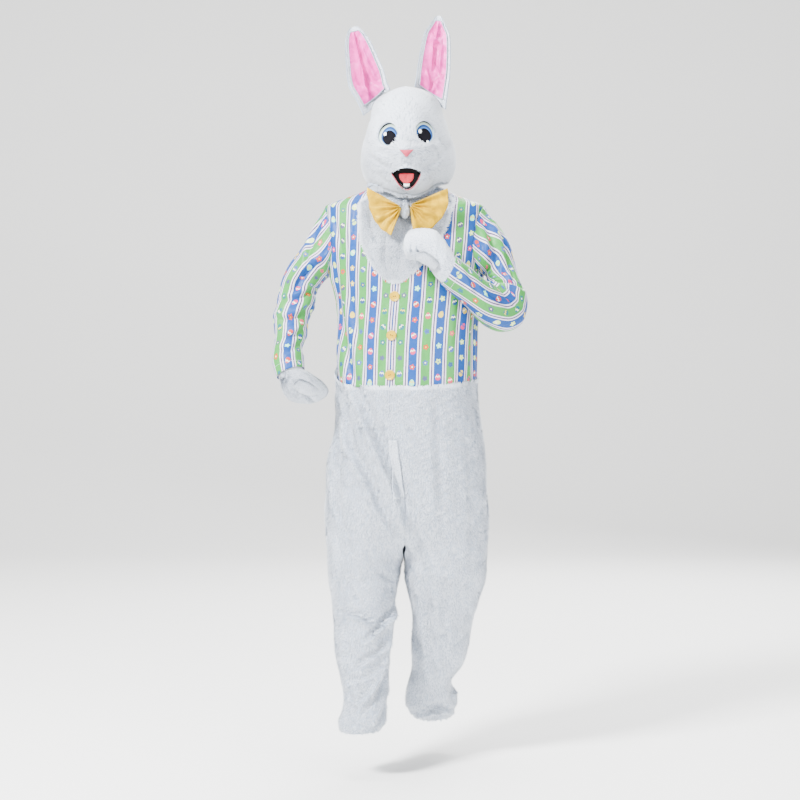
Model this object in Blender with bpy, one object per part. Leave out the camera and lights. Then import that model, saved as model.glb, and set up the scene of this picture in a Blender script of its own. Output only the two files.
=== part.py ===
import bpy
import numpy as np

# Easter bunny costume, kept in the shape it has when worn. Metres, +Z up, the front towards -Y.
# The origin is the base of the wearer's neck. Angle a runs round the body: 0 at the front,
# +90 at the wearer's left, 180 at the back.

GAP = 0.0003
SATIN = 0.002
PLUSH = 0.007
PROUD = 0.005
ARM_SIDES = 16

# Front outlines are drawn in steps from a corner, as they look from far in front of the chest.
STEP = 0.00276
NECK_ACROSS = 407.0
NECK_DOWN = 200.0
VIEW_X = -0.019
VIEW_Z = -0.41
VIEW_DISTANCE = 5.0

# height, mid x, mid y, half width, front depth, back depth, turn in degrees
TORSO = (
    (-0.520, 0.001, 0.000, 0.196, 0.155, 0.135, -18),
    (-0.440, 0.002, 0.000, 0.196, 0.150, 0.130, -18),
    (-0.360, 0.003, 0.000, 0.196, 0.148, 0.128, -17),
    (-0.280, 0.004, 0.000, 0.202, 0.146, 0.128, -15),
    (-0.210, 0.000, 0.000, 0.212, 0.142, 0.126, -12),
    (-0.140, -0.003, 0.000, 0.218, 0.132, 0.120, -9),
    (-0.080, -0.005, 0.002, 0.222, 0.118, 0.110, -7),
    (-0.020, -0.007, 0.005, 0.219, 0.095, 0.092, -5),
    (0.000, -0.005, 0.008, 0.178, 0.088, 0.084, -3),
    (0.020, -0.003, 0.010, 0.125, 0.080, 0.078, -1),
    (0.035, -0.002, 0.010, 0.088, 0.072, 0.072, 0),
)
PELVIS = (
    (-1.020, 0.000, 0.000, 0.2235, 0.150, 0.150, 0),
    (-0.9384, 0.0005, 0.000, 0.2286, 0.160, 0.158, -2),
    (-0.8639, 0.0001, 0.000, 0.2310, 0.166, 0.160, -5),
    (-0.7397, -0.0009, 0.000, 0.2230, 0.168, 0.156, -10),
    (-0.6180, 0.0037, 0.000, 0.2083, 0.163, 0.146, -16),
    (-0.5200, 0.0010, 0.000, 0.2010, 0.160, 0.140, -18),
    (-0.4400, 0.0020, 0.000, 0.2010, 0.155, 0.135, -18),
)

# The armhole is an oval on the side of the torso.
ARMHOLE_HEIGHT = -0.1145
ARMHOLE_HALF = 0.0955
ARMHOLE_ANGLE = 30.0

# height, right and left half angles of the chest bib
BIB_EDGE = (
    (-0.236, 0.0, 0.0),
    (-0.232, 1.3, 1.3),
    (-0.222, 5.5, 5.5),
    (-0.207, 10.0, 10.0),
    (-0.180, 15.5, 15.5),
    (-0.140, 22.5, 23.0),
    (-0.115, 25.0, 26.5),
    (-0.080, 26.5, 31.0),
    (-0.020, 29.0, 37.0),
    (0.000, 31.0, 44.0),
    (0.020, 36.0, 56.0),
    (0.035, 42.0, 62.0),
)
BIB_TIP = -0.236

# height, outer x, inner x, mid y, half depth of each trouser leg
LEG_RIGHT = (
    (-1.4334, -0.1833, -0.0694, -0.165, 0.060),
    (-1.4078, -0.1878, -0.0529, -0.158, 0.066),
    (-1.3804, -0.1794, -0.0508, -0.150, 0.068),
    (-1.3528, -0.1782, -0.0488, -0.140, 0.072),
    (-1.2975, -0.1872, -0.0450, -0.120, 0.080),
    (-1.2262, -0.2003, -0.0379, -0.095, 0.088),
    (-1.1616, -0.2039, -0.0326, -0.072, 0.094),
    (-1.0970, -0.2090, -0.0273, -0.040, 0.104),
    (-1.0500, -0.2180, -0.0180, -0.014, 0.116),
    (-1.0200, -0.2225, -0.0120, 0.000, 0.125),
    (-0.9400, -0.2270, -0.0120, 0.000, 0.140),
    (-0.8400, -0.2300, -0.0120, 0.000, 0.150),
)
LEG_LEFT = (
    (-1.4498, 0.1292, 0.0169, 0.085, 0.060),
    (-1.4292, 0.1374, 0.0014, 0.080, 0.064),
    (-1.4086, 0.1463, -0.0084, 0.075, 0.067),
    (-1.3796, 0.1461, -0.0056, 0.070, 0.069),
    (-1.3469, 0.1285, -0.0014, 0.060, 0.073),
    (-1.2977, 0.1584, 0.0084, 0.050, 0.080),
    (-1.2395, 0.1751, 0.0089, 0.035, 0.087),
    (-1.1622, 0.1870, 0.0110, 0.020, 0.094),
    (-1.1054, 0.2046, 0.0041, 0.010, 0.104),
    (-1.0500, 0.2200, -0.0080, 0.002, 0.116),
    (-1.0200, 0.2245, -0.0120, 0.000, 0.125),
    (-0.9400, 0.2280, -0.0120, 0.000, 0.140),
    (-0.8400, 0.2310, -0.0120, 0.000, 0.150),
)
CROTCH = -1.02
SEAT = -0.85
# shares of a quarter from the side seam to the centre seam, used above and below the waist seam
FRONT_COLUMNS = np.array((0, 0.14, 0.28, 0.42, 0.56, 0.70, 0.85, 0.975, 1.0))
BACK_COLUMNS = np.linspace(0, 1, 8)
# The placket covers these rows of the trouser fronts, between two heights over their surface.
PLACKET_ROWS = (14, 18)
PLACKET_TOP = 0.0035
PLACKET_UNDER = 0.0005

# station, inner across, inner down, outer across, outer down, y, half depth of each sleeve
ARM_RIGHT = (
    (0, 330.0, 276.0, 326.0, 206.0, 0.030, 0.066),
    (1, 329.0, 277.5, 309.0, 239.0, 0.034, 0.066),
    (2, 326.5, 280.0, 299.8, 249.6, 0.036, 0.063),
    (3, 321.4, 286.1, 286.5, 267.8, 0.036, 0.060),
    (4, 316.5, 294.0, 280.0, 285.0, 0.030, 0.056),
    (5, 314.5, 306.0, 277.5, 305.0, 0.014, 0.053),
    (6, 308.7, 320.0, 273.8, 320.0, 0.000, 0.051),
    (7, 308.0, 334.0, 274.0, 336.0, -0.012, 0.049),
    (8, 303.0, 348.5, 273.3, 350.0, -0.022, 0.046),
    (9, 304.5, 357.0, 272.0, 362.0, -0.034, 0.045),
    (10, 304.6, 368.4, 277.0, 378.2, -0.048, 0.043),
)
ARM_LEFT = (
    (0, 485.3, 275.7, 500.5, 221.0, -0.030, 0.068),
    (1, 486.0, 276.4, 508.1, 236.2, -0.033, 0.064),
    (2, 486.3, 277.9, 513.2, 253.6, -0.038, 0.058),
    (3, 486.7, 280.4, 517.9, 271.0, -0.046, 0.055),
    (4, 486.9, 283.7, 523.3, 288.8, -0.058, 0.053),
    (5, 486.3, 286.2, 526.9, 305.1, -0.075, 0.052),
    (6, 484.5, 286.2, 520.8, 325.0, -0.098, 0.052),
    (7, 481.6, 283.3, 504.8, 331.9, -0.128, 0.050),
    (8, 478.0, 277.9, 486.0, 323.6, -0.157, 0.048),
    (9, 472.2, 269.6, 467.0, 307.2, -0.179, 0.046),
    (10, 463.9, 262.3, 453.4, 294.9, -0.195, 0.044),
    (11, 454.8, 255.4, 440.5, 283.9, -0.205, 0.042),
)
CUFF_TUCK = 0.3

# station, inner across, inner down, outer across, outer down, y, half depth of each mitt
MITT_RIGHT = (
    (0, 304.6, 368.4, 277.0, 378.2, -0.048, 0.043),
    (1, 309.0, 371.3, 283.5, 394.0, -0.056, 0.046),
    (2, 313.5, 374.0, 292.0, 401.5, -0.062, 0.047),
    (3, 318.0, 377.5, 303.0, 403.5, -0.066, 0.045),
    (4, 323.0, 381.5, 313.0, 403.0, -0.070, 0.040),
    (5, 327.0, 386.5, 322.5, 399.0, -0.073, 0.027),
    (6, 328.7, 391.2, 327.6, 395.0, -0.075, 0.000),
)
MITT_LEFT = (
    (0, 454.8, 255.4, 440.5, 283.9, -0.205, 0.042),
    (1, 451.0, 249.0, 434.0, 276.0, -0.205, 0.044),
    (2, 444.0, 239.0, 427.0, 267.0, -0.203, 0.045),
    (3, 436.0, 230.5, 421.0, 262.0, -0.200, 0.045),
    (4, 424.0, 228.0, 414.0, 260.5, -0.196, 0.043),
    (5, 413.0, 229.0, 407.5, 259.0, -0.192, 0.037),
    (6, 407.0, 235.0, 404.5, 252.0, -0.189, 0.025),
    (7, 403.9, 241.0, 403.4, 247.0, -0.188, 0.000),
)
# name, first and last row of the mitt's mesh, column at the root and at the tip, spread, height
THUMBS = (
    ("right", 2.8, 6.2, 4.2, 4.1, 1.05, 0.020),
    ("left", 2.3, 4.9, 2.8, 1.9, 0.95, 0.018),
)

THUMB_LIFT = 0.0013
HEAD_MIDDLE = np.array((0.002, 0.005, 0.152))
HEAD_ROLL = 2.0
HEAD_WALL = 0.007
# elevation, distance from the middle of the head
HEAD_SIDE = (
    (-60.0, 0.153),
    (-45.0, 0.1556),
    (-30.0, 0.1484),
    (-19.0, 0.1404),
    (-9.5, 0.1328),
    (16.0, 0.1206),
    (33.0, 0.125),
    (56.0, 0.149),
    (90.0, 0.158),
)
HEAD_FRONT = (
    (-62.0, 0.175),
    (-53.0, 0.188),
    (-43.0, 0.190),
    (-31.0, 0.175),
    (-20.0, 0.164),
    (-10.0, 0.152),
    (0.0, 0.131),
    (15.0, 0.1245),
    (31.0, 0.132),
    (49.0, 0.144),
    (70.0, 0.158),
    (90.0, 0.158),
)
HEAD_BACK = (
    (-60.0, 0.145),
    (-45.0, 0.140),
    (-30.0, 0.130),
    (-9.0, 0.130),
    (16.0, 0.135),
    (33.0, 0.140),
    (56.0, 0.150),
    (90.0, 0.158),
)
# sideways angle, elevation, height of the bump, its width in degrees
HEAD_BUMPS = (
    (-22, 10, -0.004, 12),
    (22, 10, -0.004, 12),
    (-22, 32, 0.004, 13),
    (22, 32, 0.004, 13),
    (-50, -25, 0.004, 22),
    (50, -25, 0.004, 22),
)
HEAD_RIM_HEIGHT = 0.030

# name, middle across, middle down, half width, half height of each eye opening
EYES = (
    ("right", 387.2, 133.5, 10.4, 11.6),
    ("left", 425.7, 131.4, 9.9, 11.3),
)
EYE_Y = -0.128
EYE_UNDER = 0.0035
EYE_WALL = 0.0015
MOUTH_TOP_Y = -0.150
MOUTH_LOW_Y = -0.132
LINING_UNDER = 0.0049
LINING_BOWL = 0.013
LINING_WALL = 0.0015
MOUTH = (
    (391.0, 172.0),
    (396.0, 171.0),
    (401.0, 169.6),
    (406.3, 169.0),
    (411.5, 169.5),
    (416.0, 170.8),
    (420.8, 171.6),
    (419.2, 177.5),
    (416.0, 183.5),
    (412.0, 188.0),
    (407.2, 189.9),
    (402.6, 188.4),
    (398.4, 184.0),
    (394.6, 178.0),
)

# share of the ear's length, half width
EAR_RIGHT_WIDTH = (
    (0.00, 0.0430),
    (0.17, 0.0455),
    (0.265, 0.0490),
    (0.377, 0.0483),
    (0.53, 0.0428),
    (0.68, 0.0370),
    (0.82, 0.0295),
    (0.95, 0.0166),
    (1.00, 0.0060),
)
EAR_LEFT_WIDTH = (
    (0.00, 0.0400),
    (0.148, 0.0422),
    (0.289, 0.0425),
    (0.48, 0.0405),
    (0.62, 0.0376),
    (0.787, 0.0317),
    (0.88, 0.0200),
    (1.00, 0.0050),
)
# name, base across, base down, tip across, tip down, base arc from and to, widths
EARS = (
    ("right", 373.0, 105.0, 353.8, 29.5, (365.0, 117.0), (389.0, 93.5), EAR_RIGHT_WIDTH),
    ("left", 431.0, 100.0, 438.7, 18.7, (416.0, 91.0), (444.0, 111.0), EAR_LEFT_WIDTH),
)
EAR_SATIN = 0.0014

# angle from the wearer's left, reach of the bow's outer edge
BOW_RIGHT = (
    (151, 0.1075),
    (168, 0.0930),
    (191, 0.0845),
    (215, 0.0810),
    (235, 0.0810),
    (250, 0.0820),
)
BOW_LEFT = (
    (-84, 0.0650),
    (-64, 0.0735),
    (-48, 0.0850),
    (-28, 0.0890),
    (-8, 0.0990),
    (8, 0.1045),
    (24, 0.1100),
)
BOW_WALL = 0.0015
KNOT_PLACE = (405.3, 209.5, -0.1290)
KNOT_RADII = (0.026, 0.0135, 0.0225)
BOW_Y = -0.144

BUTTON_HEIGHTS = (-0.270, -0.3745, -0.481)


def read(rows, at, column):
    # Smooth curve through one column of a table, without overshoot.
    table = np.array(rows, float)
    table = table[np.argsort(table[:, 0])]
    x = table[:, 0]
    y = table[:, column]
    step = np.diff(x)
    rise = np.diff(y) / step
    slope = np.zeros(len(x))
    slope[0] = rise[0]
    slope[-1] = rise[-1]
    same = rise[:-1] * rise[1:] > 0
    total = np.where(same, rise[:-1] + rise[1:], 1.0)
    slope[1:-1] = np.where(same, 2 * rise[:-1] * rise[1:] / total, 0.0)
    at = np.asarray(at, float)
    k = np.clip(np.searchsorted(x, at) - 1, 0, len(x) - 2)
    t = np.clip((at - x[k]) / step[k], 0, 1)
    near = (2 * t**3 - 3 * t**2 + 1) * y[k] + (t**3 - 2 * t**2 + t) * slope[k] * step[k]
    far = (3 * t**2 - 2 * t**3) * y[k + 1] + (t**3 - t**2) * slope[k + 1] * step[k]
    return near + far


def smooth(t):
    t = np.clip(t, 0, 1)
    return t * t * (3 - 2 * t)


def unit(v):
    return v / np.maximum(np.linalg.norm(v, axis=-1, keepdims=True), 1e-12)


def seen(across, down, y):
    # True place of an outline point that lies at depth y.
    x = (np.asarray(across, float) - NECK_ACROSS) * STEP
    z = (NECK_DOWN - np.asarray(down, float)) * STEP
    grow = 1 + np.asarray(y, float) / VIEW_DISTANCE
    x = VIEW_X + (x - VIEW_X) * grow
    z = VIEW_Z + (z - VIEW_Z) * grow
    return np.stack(np.broadcast_arrays(x, y, z), axis=-1)


def oval(table, angle, height):
    angle = np.radians(angle)
    turn = np.radians(read(table, height, 6))
    across = np.sin(angle)
    ahead = np.cos(angle)
    depth = np.where(ahead > 0, read(table, height, 4), read(table, height, 5))
    x = read(table, height, 3) * np.sign(across) * np.abs(across) ** 0.88
    y = -depth * np.sign(ahead) * np.abs(ahead) ** 0.88
    out_x = read(table, height, 1) + x * np.cos(turn) - y * np.sin(turn)
    out_y = read(table, height, 2) + x * np.sin(turn) + y * np.cos(turn)
    return np.stack(np.broadcast_arrays(out_x, out_y, height), axis=-1)


def torso(angle, height):
    return oval(TORSO, angle, height)


def torso_normal(angle, height):
    round_it = torso(angle + 1.0, height) - torso(angle - 1.0, height)
    up = torso(angle, height + 0.002) - torso(angle, height - 0.002)
    return unit(np.cross(round_it, up))


def waist(angle):
    angle = np.asarray(angle, float)
    side = (angle + 90 + 180) % 360 - 180
    return -0.499 - 0.016 * np.cos(np.radians(angle)) + 0.035 * np.exp(-((side / 25) ** 2))


# Building closed shells

# node name start, finish
FINISHES = (
    ("bodice", "striped_satin"),
    ("sleeve", "striped_satin"),
    ("bib", "white_plush"),
    ("trouser", "white_plush"),
    ("fly", "white_plush"),
    ("mitt", "white_plush"),
    ("head", "white_plush"),
    ("ear_back", "white_plush"),
    ("ear_front", "pink_satin"),
    ("bow_wing", "yellow_satin"),
    ("bow_knot", "white_plush"),
    ("button", "yellow_plastic"),
    ("eye", "printed_mesh"),
    ("nose", "pink_velvet"),
    ("mouth", "black_lining"),
    ("tongue", "coral_felt"),
    ("tooth", "white_felt"),
)
# finish, red, green, blue, roughness
COLOURS = (
    ("striped_satin", 0.16, 0.35, 0.52, 0.42),
    ("white_plush", 0.80, 0.82, 0.86, 0.95),
    ("pink_satin", 0.80, 0.40, 0.60, 0.40),
    ("yellow_satin", 0.78, 0.52, 0.07, 0.35),
    ("yellow_plastic", 0.88, 0.58, 0.05, 0.30),
    ("printed_mesh", 0.08, 0.18, 0.42, 0.55),
    ("pink_velvet", 0.72, 0.24, 0.24, 0.80),
    ("black_lining", 0.02, 0.015, 0.02, 0.90),
    ("coral_felt", 0.68, 0.18, 0.16, 0.85),
    ("white_felt", 0.80, 0.79, 0.75, 0.70),
)


def finish_of(name):
    finish = next(finish for start, finish in FINISHES if name.startswith(start))
    material = bpy.data.materials.get(finish)
    if material is None:
        _, red, green, blue, roughness = next(row for row in COLOURS if row[0] == finish)
        material = bpy.data.materials.new(finish)
        material.use_nodes = True
        shader = material.node_tree.nodes["Principled BSDF"]
        shader.inputs["Base Color"].default_value = (red, green, blue, 1)
        shader.inputs["Roughness"].default_value = roughness
        shader.inputs["Metallic"].default_value = 0.0
    return material


def add_mesh(name, points, faces):
    points = np.asarray(points, float)
    faces = np.asarray(faces, int)
    a, b, c = points[faces[:, 0]], points[faces[:, 1]], points[faces[:, 2]]
    if np.einsum("ij,ij->", a, np.cross(b, c)) < 0:
        faces = faces[:, ::-1]
    mesh = bpy.data.meshes.new(name)
    mesh.from_pydata(points.tolist(), [], faces.tolist())
    mesh.validate()
    mesh.materials.append(finish_of(name))
    obj = bpy.data.objects.new(name, mesh)
    bpy.context.scene.collection.objects.link(obj)
    return obj


def quad(a, b, c, d, other):
    # Two triangles of each quad; other picks the second diagonal.
    first = np.where(other[..., None], np.stack([a, b, d], -1), np.stack([a, b, c], -1))
    second = np.where(other[..., None], np.stack([b, c, d], -1), np.stack([a, c, d], -1))
    return np.concatenate([first.reshape(-1, 3), second.reshape(-1, 3)])


def shell(name, outer, inner, wrap=False):
    rows, cols = outer.shape[:2]
    index = np.arange(rows * cols).reshape(rows, cols)
    if wrap:
        index = np.concatenate([index, index[:, :1]], axis=1)
    below = index + rows * cols
    a, b, c, d = index[:-1, :-1], index[:-1, 1:], index[1:, 1:], index[1:, :-1]
    other = np.broadcast_to(np.arange(a.shape[1]) >= a.shape[1] / 2, a.shape)
    shift = rows * cols
    faces = [quad(a, b, c, d, other)]
    faces.append(quad(a, b, c, d, other)[:, ::-1] + shift)
    plain = np.zeros(index.shape[1] - 1, bool)
    faces.append(quad(index[0, 1:], index[0, :-1], below[0, :-1], below[0, 1:], plain))
    faces.append(quad(index[-1, :-1], index[-1, 1:], below[-1, 1:], below[-1, :-1], plain))
    if not wrap:
        plain = np.zeros(rows - 1, bool)
        faces.append(quad(index[:-1, 0], index[1:, 0], below[1:, 0], below[:-1, 0], plain))
        faces.append(quad(index[1:, -1], index[:-1, -1], below[:-1, -1], below[1:, -1], plain))
    points = np.concatenate([outer.reshape(-1, 3), inner.reshape(-1, 3)])
    return add_mesh(name, points, np.concatenate(faces))


def into(edge, beside, normal):
    # Direction in the surface, square to the edge, towards the panel.
    along = unit(np.gradient(edge, axis=0))
    way = beside - edge
    way = way - np.sum(way * normal, -1, keepdims=True) * normal
    along = unit(along - np.sum(along * normal, -1, keepdims=True) * normal)
    way = way - np.sum(way * along, -1, keepdims=True) * along
    return unit(way)


def inset(points, normals, left, right, bottom, top):
    # Each side drawn in by its own distance, so that neighbours keep a gap at the seam.
    ways = (
        (into(points[:, 0], points[:, 1], normals[:, 0]), left),
        (into(points[:, -1], points[:, -2], normals[:, -1]), right),
        (into(points[0], points[1], normals[0]), bottom),
        (into(points[-1], points[-2], normals[-1]), top),
    )
    out = points.copy()
    out[:, 0] += ways[0][0] * left
    out[:, -1] += ways[1][0] * right
    out[0, 1:-1] += ways[2][0][1:-1] * bottom
    out[-1, 1:-1] += ways[3][0][1:-1] * top
    corners = ((0, 0, 0, 2), (0, -1, 1, 2), (-1, 0, 0, 3), (-1, -1, 1, 3))
    for row, col, across, along in corners:
        first = ways[across][0][row]
        second = ways[along][0][col]
        one = ways[across][1]
        two = ways[along][1]
        lean = float(first @ second)
        if abs(lean) > 0.8:
            out[row, col] = points[row, col] + (first * one if one >= two else second * two)
        else:
            share = (one - lean * two) / (1 - lean**2)
            rest = (two - lean * one) / (1 - lean**2)
            out[row, col] = points[row, col] + first * share + second * rest
    return out


def panel(name, points, normals, wall, sides=(0, 0, 0, 0)):
    normals = unit(normals)
    drawn = inset(points, normals, *sides)
    return shell(name, drawn, drawn - normals * wall)


def grid_normals(points, middle, wrap):
    if wrap:
        across = np.roll(points, -1, axis=1) - np.roll(points, 1, axis=1)
    else:
        across = np.gradient(points, axis=1)
    along = np.gradient(points, axis=0)
    normals = unit(np.cross(across, along))
    facing = np.sum(normals * (points - middle), axis=-1)
    return normals * (1.0 if facing.sum() > 0 else -1.0)


def blob(name, middle, axes, radii, rings=8, around=12):
    # Closed rounded solid; axes are its three directions, the first one lengthwise.
    lift = np.linspace(0, np.pi, rings + 1)[1:-1]
    turn = np.linspace(0, 2 * np.pi, around, endpoint=False)
    lift, turn = np.meshgrid(lift, turn, indexing="ij")
    local = np.stack([-np.cos(lift), np.sin(lift) * np.cos(turn), np.sin(lift) * np.sin(turn)], -1)
    local = local.reshape(-1, 3)
    local = np.concatenate([local, [[-1, 0, 0], [1, 0, 0]]]) * np.array(radii)
    points = np.asarray(middle) + local @ np.asarray(axes)
    index = np.arange((rings - 1) * around).reshape(rings - 1, around)
    index = np.concatenate([index, index[:, :1]], axis=1)
    a, b, c, d = index[:-1, :-1], index[:-1, 1:], index[1:, 1:], index[1:, :-1]
    start = (rings - 1) * around
    faces = [quad(a, b, c, d, np.zeros(a.shape, bool))]
    faces.append(np.stack([np.full(around, start), index[0, 1:], index[0, :-1]], -1))
    faces.append(np.stack([np.full(around, start + 1), index[-1, :-1], index[-1, 1:]], -1))
    return add_mesh(name, points, np.concatenate(faces))


# Striped satin bodice and the plush bib let into it

def armhole_reach(height):
    t = (np.asarray(height, float) - ARMHOLE_HEIGHT) / ARMHOLE_HALF
    return ARMHOLE_ANGLE * np.sqrt(np.clip(1 - t**2, 0, 1))


def bib_right(height):
    return -np.where(np.asarray(height) < BIB_TIP, 0.0, read(BIB_EDGE, height, 1))


def bib_left(height):
    return np.where(np.asarray(height) < BIB_TIP, 0.0, read(BIB_EDGE, height, 2))


def bodice_rows(share, left_edge, right_edge):
    # Grid of angle and height: rows from the waist seam to the neck.
    low = np.linspace(0, 1, 7)[:-1]
    turns = np.linspace(0, np.pi, ARM_SIDES // 2 + 1)
    arm = ARMHOLE_HEIGHT - ARMHOLE_HALF * np.cos(turns)
    arm[0] = ARMHOLE_HEIGHT - ARMHOLE_HALF
    fixed = np.concatenate([[-0.236, -0.232, -0.222], arm, [-0.004, 0.012, 0.024, 0.035]])
    angles = []
    heights = []
    for t in low:
        a = left_edge(-0.24) + (right_edge(-0.24) - left_edge(-0.24)) * share
        bottom = waist(a)
        angles.append(a)
        heights.append(bottom + (-0.236 - bottom) * t)
    for z in fixed:
        angles.append(left_edge(z) + (right_edge(z) - left_edge(z)) * share)
        heights.append(np.full(len(share), z))
    return np.array(angles), np.array(heights)


def build_bodice():
    half = GAP / 2
    back = np.concatenate([BACK_COLUMNS / 2, 0.5 + BACK_COLUMNS[1:] / 2])
    pieces = (
        ("bodice_front_right", FRONT_COLUMNS, lambda z: armhole_reach(z) - 90, bib_right),
        ("bodice_front_left", 1 - FRONT_COLUMNS[::-1], bib_left, lambda z: 90 - armhole_reach(z)),
        ("bodice_back", back, lambda z: 90 + armhole_reach(z), lambda z: 270 - armhole_reach(z)),
    )
    for name, share, left_edge, right_edge in pieces:
        angle, height = bodice_rows(share, left_edge, right_edge)
        points = torso(angle, height)
        panel(name, points, torso_normal(angle, height), SATIN, (half, half, half, 0))
    angle, height = bodice_rows(np.linspace(0, 1, 9), bib_right, bib_left)
    angle = angle[7:]
    height = height[7:]
    normals = torso_normal(angle, height)
    points = inset(torso(angle, height), normals, half, half, GAP, 0)
    shell("bib", points + normals * PROUD, points - normals * SATIN)


# Low-crotched plush trousers, each leg an oval that joins the pelvis above the crotch

def leg(side, angle, height):
    table = LEG_RIGHT if side < 0 else LEG_LEFT
    angle = np.radians(angle)
    outer = read(table, height, 1)
    inner = read(table, height, 2)
    x = (outer + inner) / 2 + np.abs(outer - inner) / 2 * np.sin(angle)
    y = read(table, height, 3) - read(table, height, 4) * np.cos(angle)
    return np.stack(np.broadcast_arrays(x, y, height), axis=-1)


def trouser(side, half, u, height):
    # u runs from the outside seam to the centre seam, or to the inside leg below the crotch.
    if half > 0:
        above = oval(PELVIS, side * 90 * (1 - u), height)
        below = leg(side, side * (90 - 180 * u), height)
    else:
        above = oval(PELVIS, side * (90 + 90 * u), height)
        below = leg(side, side * (90 + 180 * u), height)
    share = np.sin(np.clip((height - CROTCH) / (SEAT - CROTCH), 0, 1) * np.pi / 2)[..., None]
    return below + (above - below) * share


def trouser_grid(side, half):
    if half > 0:
        u = FRONT_COLUMNS
        seam_angle = side * 90 * (1 - u)
    else:
        u = BACK_COLUMNS
        seam_angle = side * (90 + 90 * u)
    top = waist(seam_angle)
    hem = LEG_RIGHT[0][0] if side < 0 else LEG_LEFT[0][0]
    low = hem + (CROTCH - hem) * np.array((0, 0.06, 0.13, 0.2, 0.32, 0.45, 0.6, 0.78, 0.92))
    high = np.array((0, 0.09, 0.18, 0.27, 0.35, 0.42, 0.52, 0.62, 0.725, 0.86, 1.0))
    height = np.concatenate([
        np.broadcast_to(low[:, None], (len(low), len(u))),
        CROTCH + (top - CROTCH) * high[:, None],
    ])
    across = np.broadcast_to(u, height.shape)
    points = trouser(side, half, across, height)
    step = trouser(side, half, across + 0.01, height) - trouser(side, half, across - 0.01, height)
    rise = trouser(side, half, across, height + 0.003)
    rise = rise - trouser(side, half, across, height - 0.003)
    normals = unit(np.cross(step, rise)) * (-side * half)
    normals[-1] = torso_normal(seam_angle, top)
    return points, normals


def build_trousers():
    half_gap = GAP / 2
    fronts = {}
    for side, word in ((-1, "right"), (1, "left")):
        for half, face in ((1, "front"), (-1, "back")):
            points, normals = trouser_grid(side, half)
            if half > 0:
                fronts[word] = (points, normals)
            sides = (half_gap, half_gap, 0, half_gap)
            panel(f"trouser_{face}_{word}", points, normals, PLUSH, sides)
    # The fly placket lies over the centre seam of the two fronts.
    rows = slice(*PLACKET_ROWS)
    right, right_out = fronts["right"]
    left, left_out = fronts["left"]
    middle_out = unit(right_out[rows, -1] + left_out[rows, -1])
    points = np.stack([right[rows, -2], right[rows, -1], left[rows, -2]], axis=1)
    normals = np.stack([right_out[rows, -2], middle_out, left_out[rows, -2]], axis=1)
    shell("fly_placket", points + normals * PLACKET_TOP, points + normals * PLACKET_UNDER)


# Sleeves, and mitts tucked into their cuffs

def ring(table, station, angle):
    # Oval of an arm at a station; angle 0 is outside or on top, 90 in front, 180 inside.
    def middle(at):
        y = read(table, at, 5)
        inner = seen(read(table, at, 1), read(table, at, 2), y)
        outer = seen(read(table, at, 3), read(table, at, 4), y)
        return inner, outer

    last = table[-1][0]
    inner, outer = middle(station)
    before = sum(middle(np.clip(station - 0.3, 0, last))) / 2
    after = sum(middle(np.clip(station + 0.3, 0, last))) / 2
    wide = (outer - inner) / 2
    deep = unit(np.cross(after - before, wide))
    deep = deep * np.where(deep[..., 1:2] < 0, 1.0, -1.0)
    deep = deep * read(table, station, 6)[..., None]
    angle = np.radians(angle)[..., None]
    return (inner + outer) / 2 + wide * np.cos(angle) + deep * np.sin(angle)


def armhole(side, angle):
    turn = np.radians(angle)
    a = side * (90 - (ARMHOLE_ANGLE - 0.2) * np.sin(turn))
    return torso(a, ARMHOLE_HEIGHT + (ARMHOLE_HALF - 0.0006) * np.cos(turn))


def sleeve(side, station, angle):
    table = ARM_RIGHT if side < 0 else ARM_LEFT
    start = armhole(side, angle) - ring(table, np.zeros_like(station), angle)
    return ring(table, station, angle) + start * (1 - smooth(station / 1.8))[..., None]


def sleeve_grid(side):
    table = ARM_RIGHT if side < 0 else ARM_LEFT
    last = table[-1][0]
    stations = np.concatenate([[0, 0.4, 0.8], np.arange(1.4, last - 0.9, 1.0)])
    stations = np.concatenate([stations, [last - 0.8, last - CUFF_TUCK, last]])
    turns = np.arange(ARM_SIDES) * 360.0 / ARM_SIDES
    station, angle = np.meshgrid(stations, turns, indexing="ij")
    points = sleeve(side, station, angle)
    middle = points.mean(axis=1, keepdims=True)
    normals = grid_normals(points, middle, True)
    first = points[0] - middle[0]
    first[:, 0] = 0
    normals[0] = unit(first)
    return points, normals


def build_arm(side, word):
    points, normals = sleeve_grid(side)
    shell(f"sleeve_{word}", points, points - normals * SATIN, True)
    tucked = points[-2:] - normals[-2:] * (SATIN + 0.0006)
    table = MITT_RIGHT if side < 0 else MITT_LEFT
    last = table[-1][0]
    stations = np.concatenate([np.linspace(0.8, last - 1, 6), [last - 0.45, last]])
    turns = np.arange(ARM_SIDES) * 360.0 / ARM_SIDES
    station, angle = np.meshgrid(stations, turns, indexing="ij")
    hand = np.concatenate([tucked, ring(table, station, angle)])
    middle = hand.mean(axis=1, keepdims=True)
    out = grid_normals(hand, middle, True)
    out[:2] = normals[-2:]
    out[-1] = unit(middle[-1, 0] - middle[-3, 0])
    half = ARM_SIDES // 2
    ring_index = np.arange(ARM_SIDES + 1) % ARM_SIDES
    for name, cols in (("palm", ring_index[: half + 1]), ("back", ring_index[half:])):
        if side < 0:
            name = "back" if name == "palm" else "palm"
        gap = GAP / 2
        panel(f"mitt_{word}_{name}", hand[:, cols], out[:, cols], PLUSH, (gap, gap, 0, gap))
    return hand, out


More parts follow.
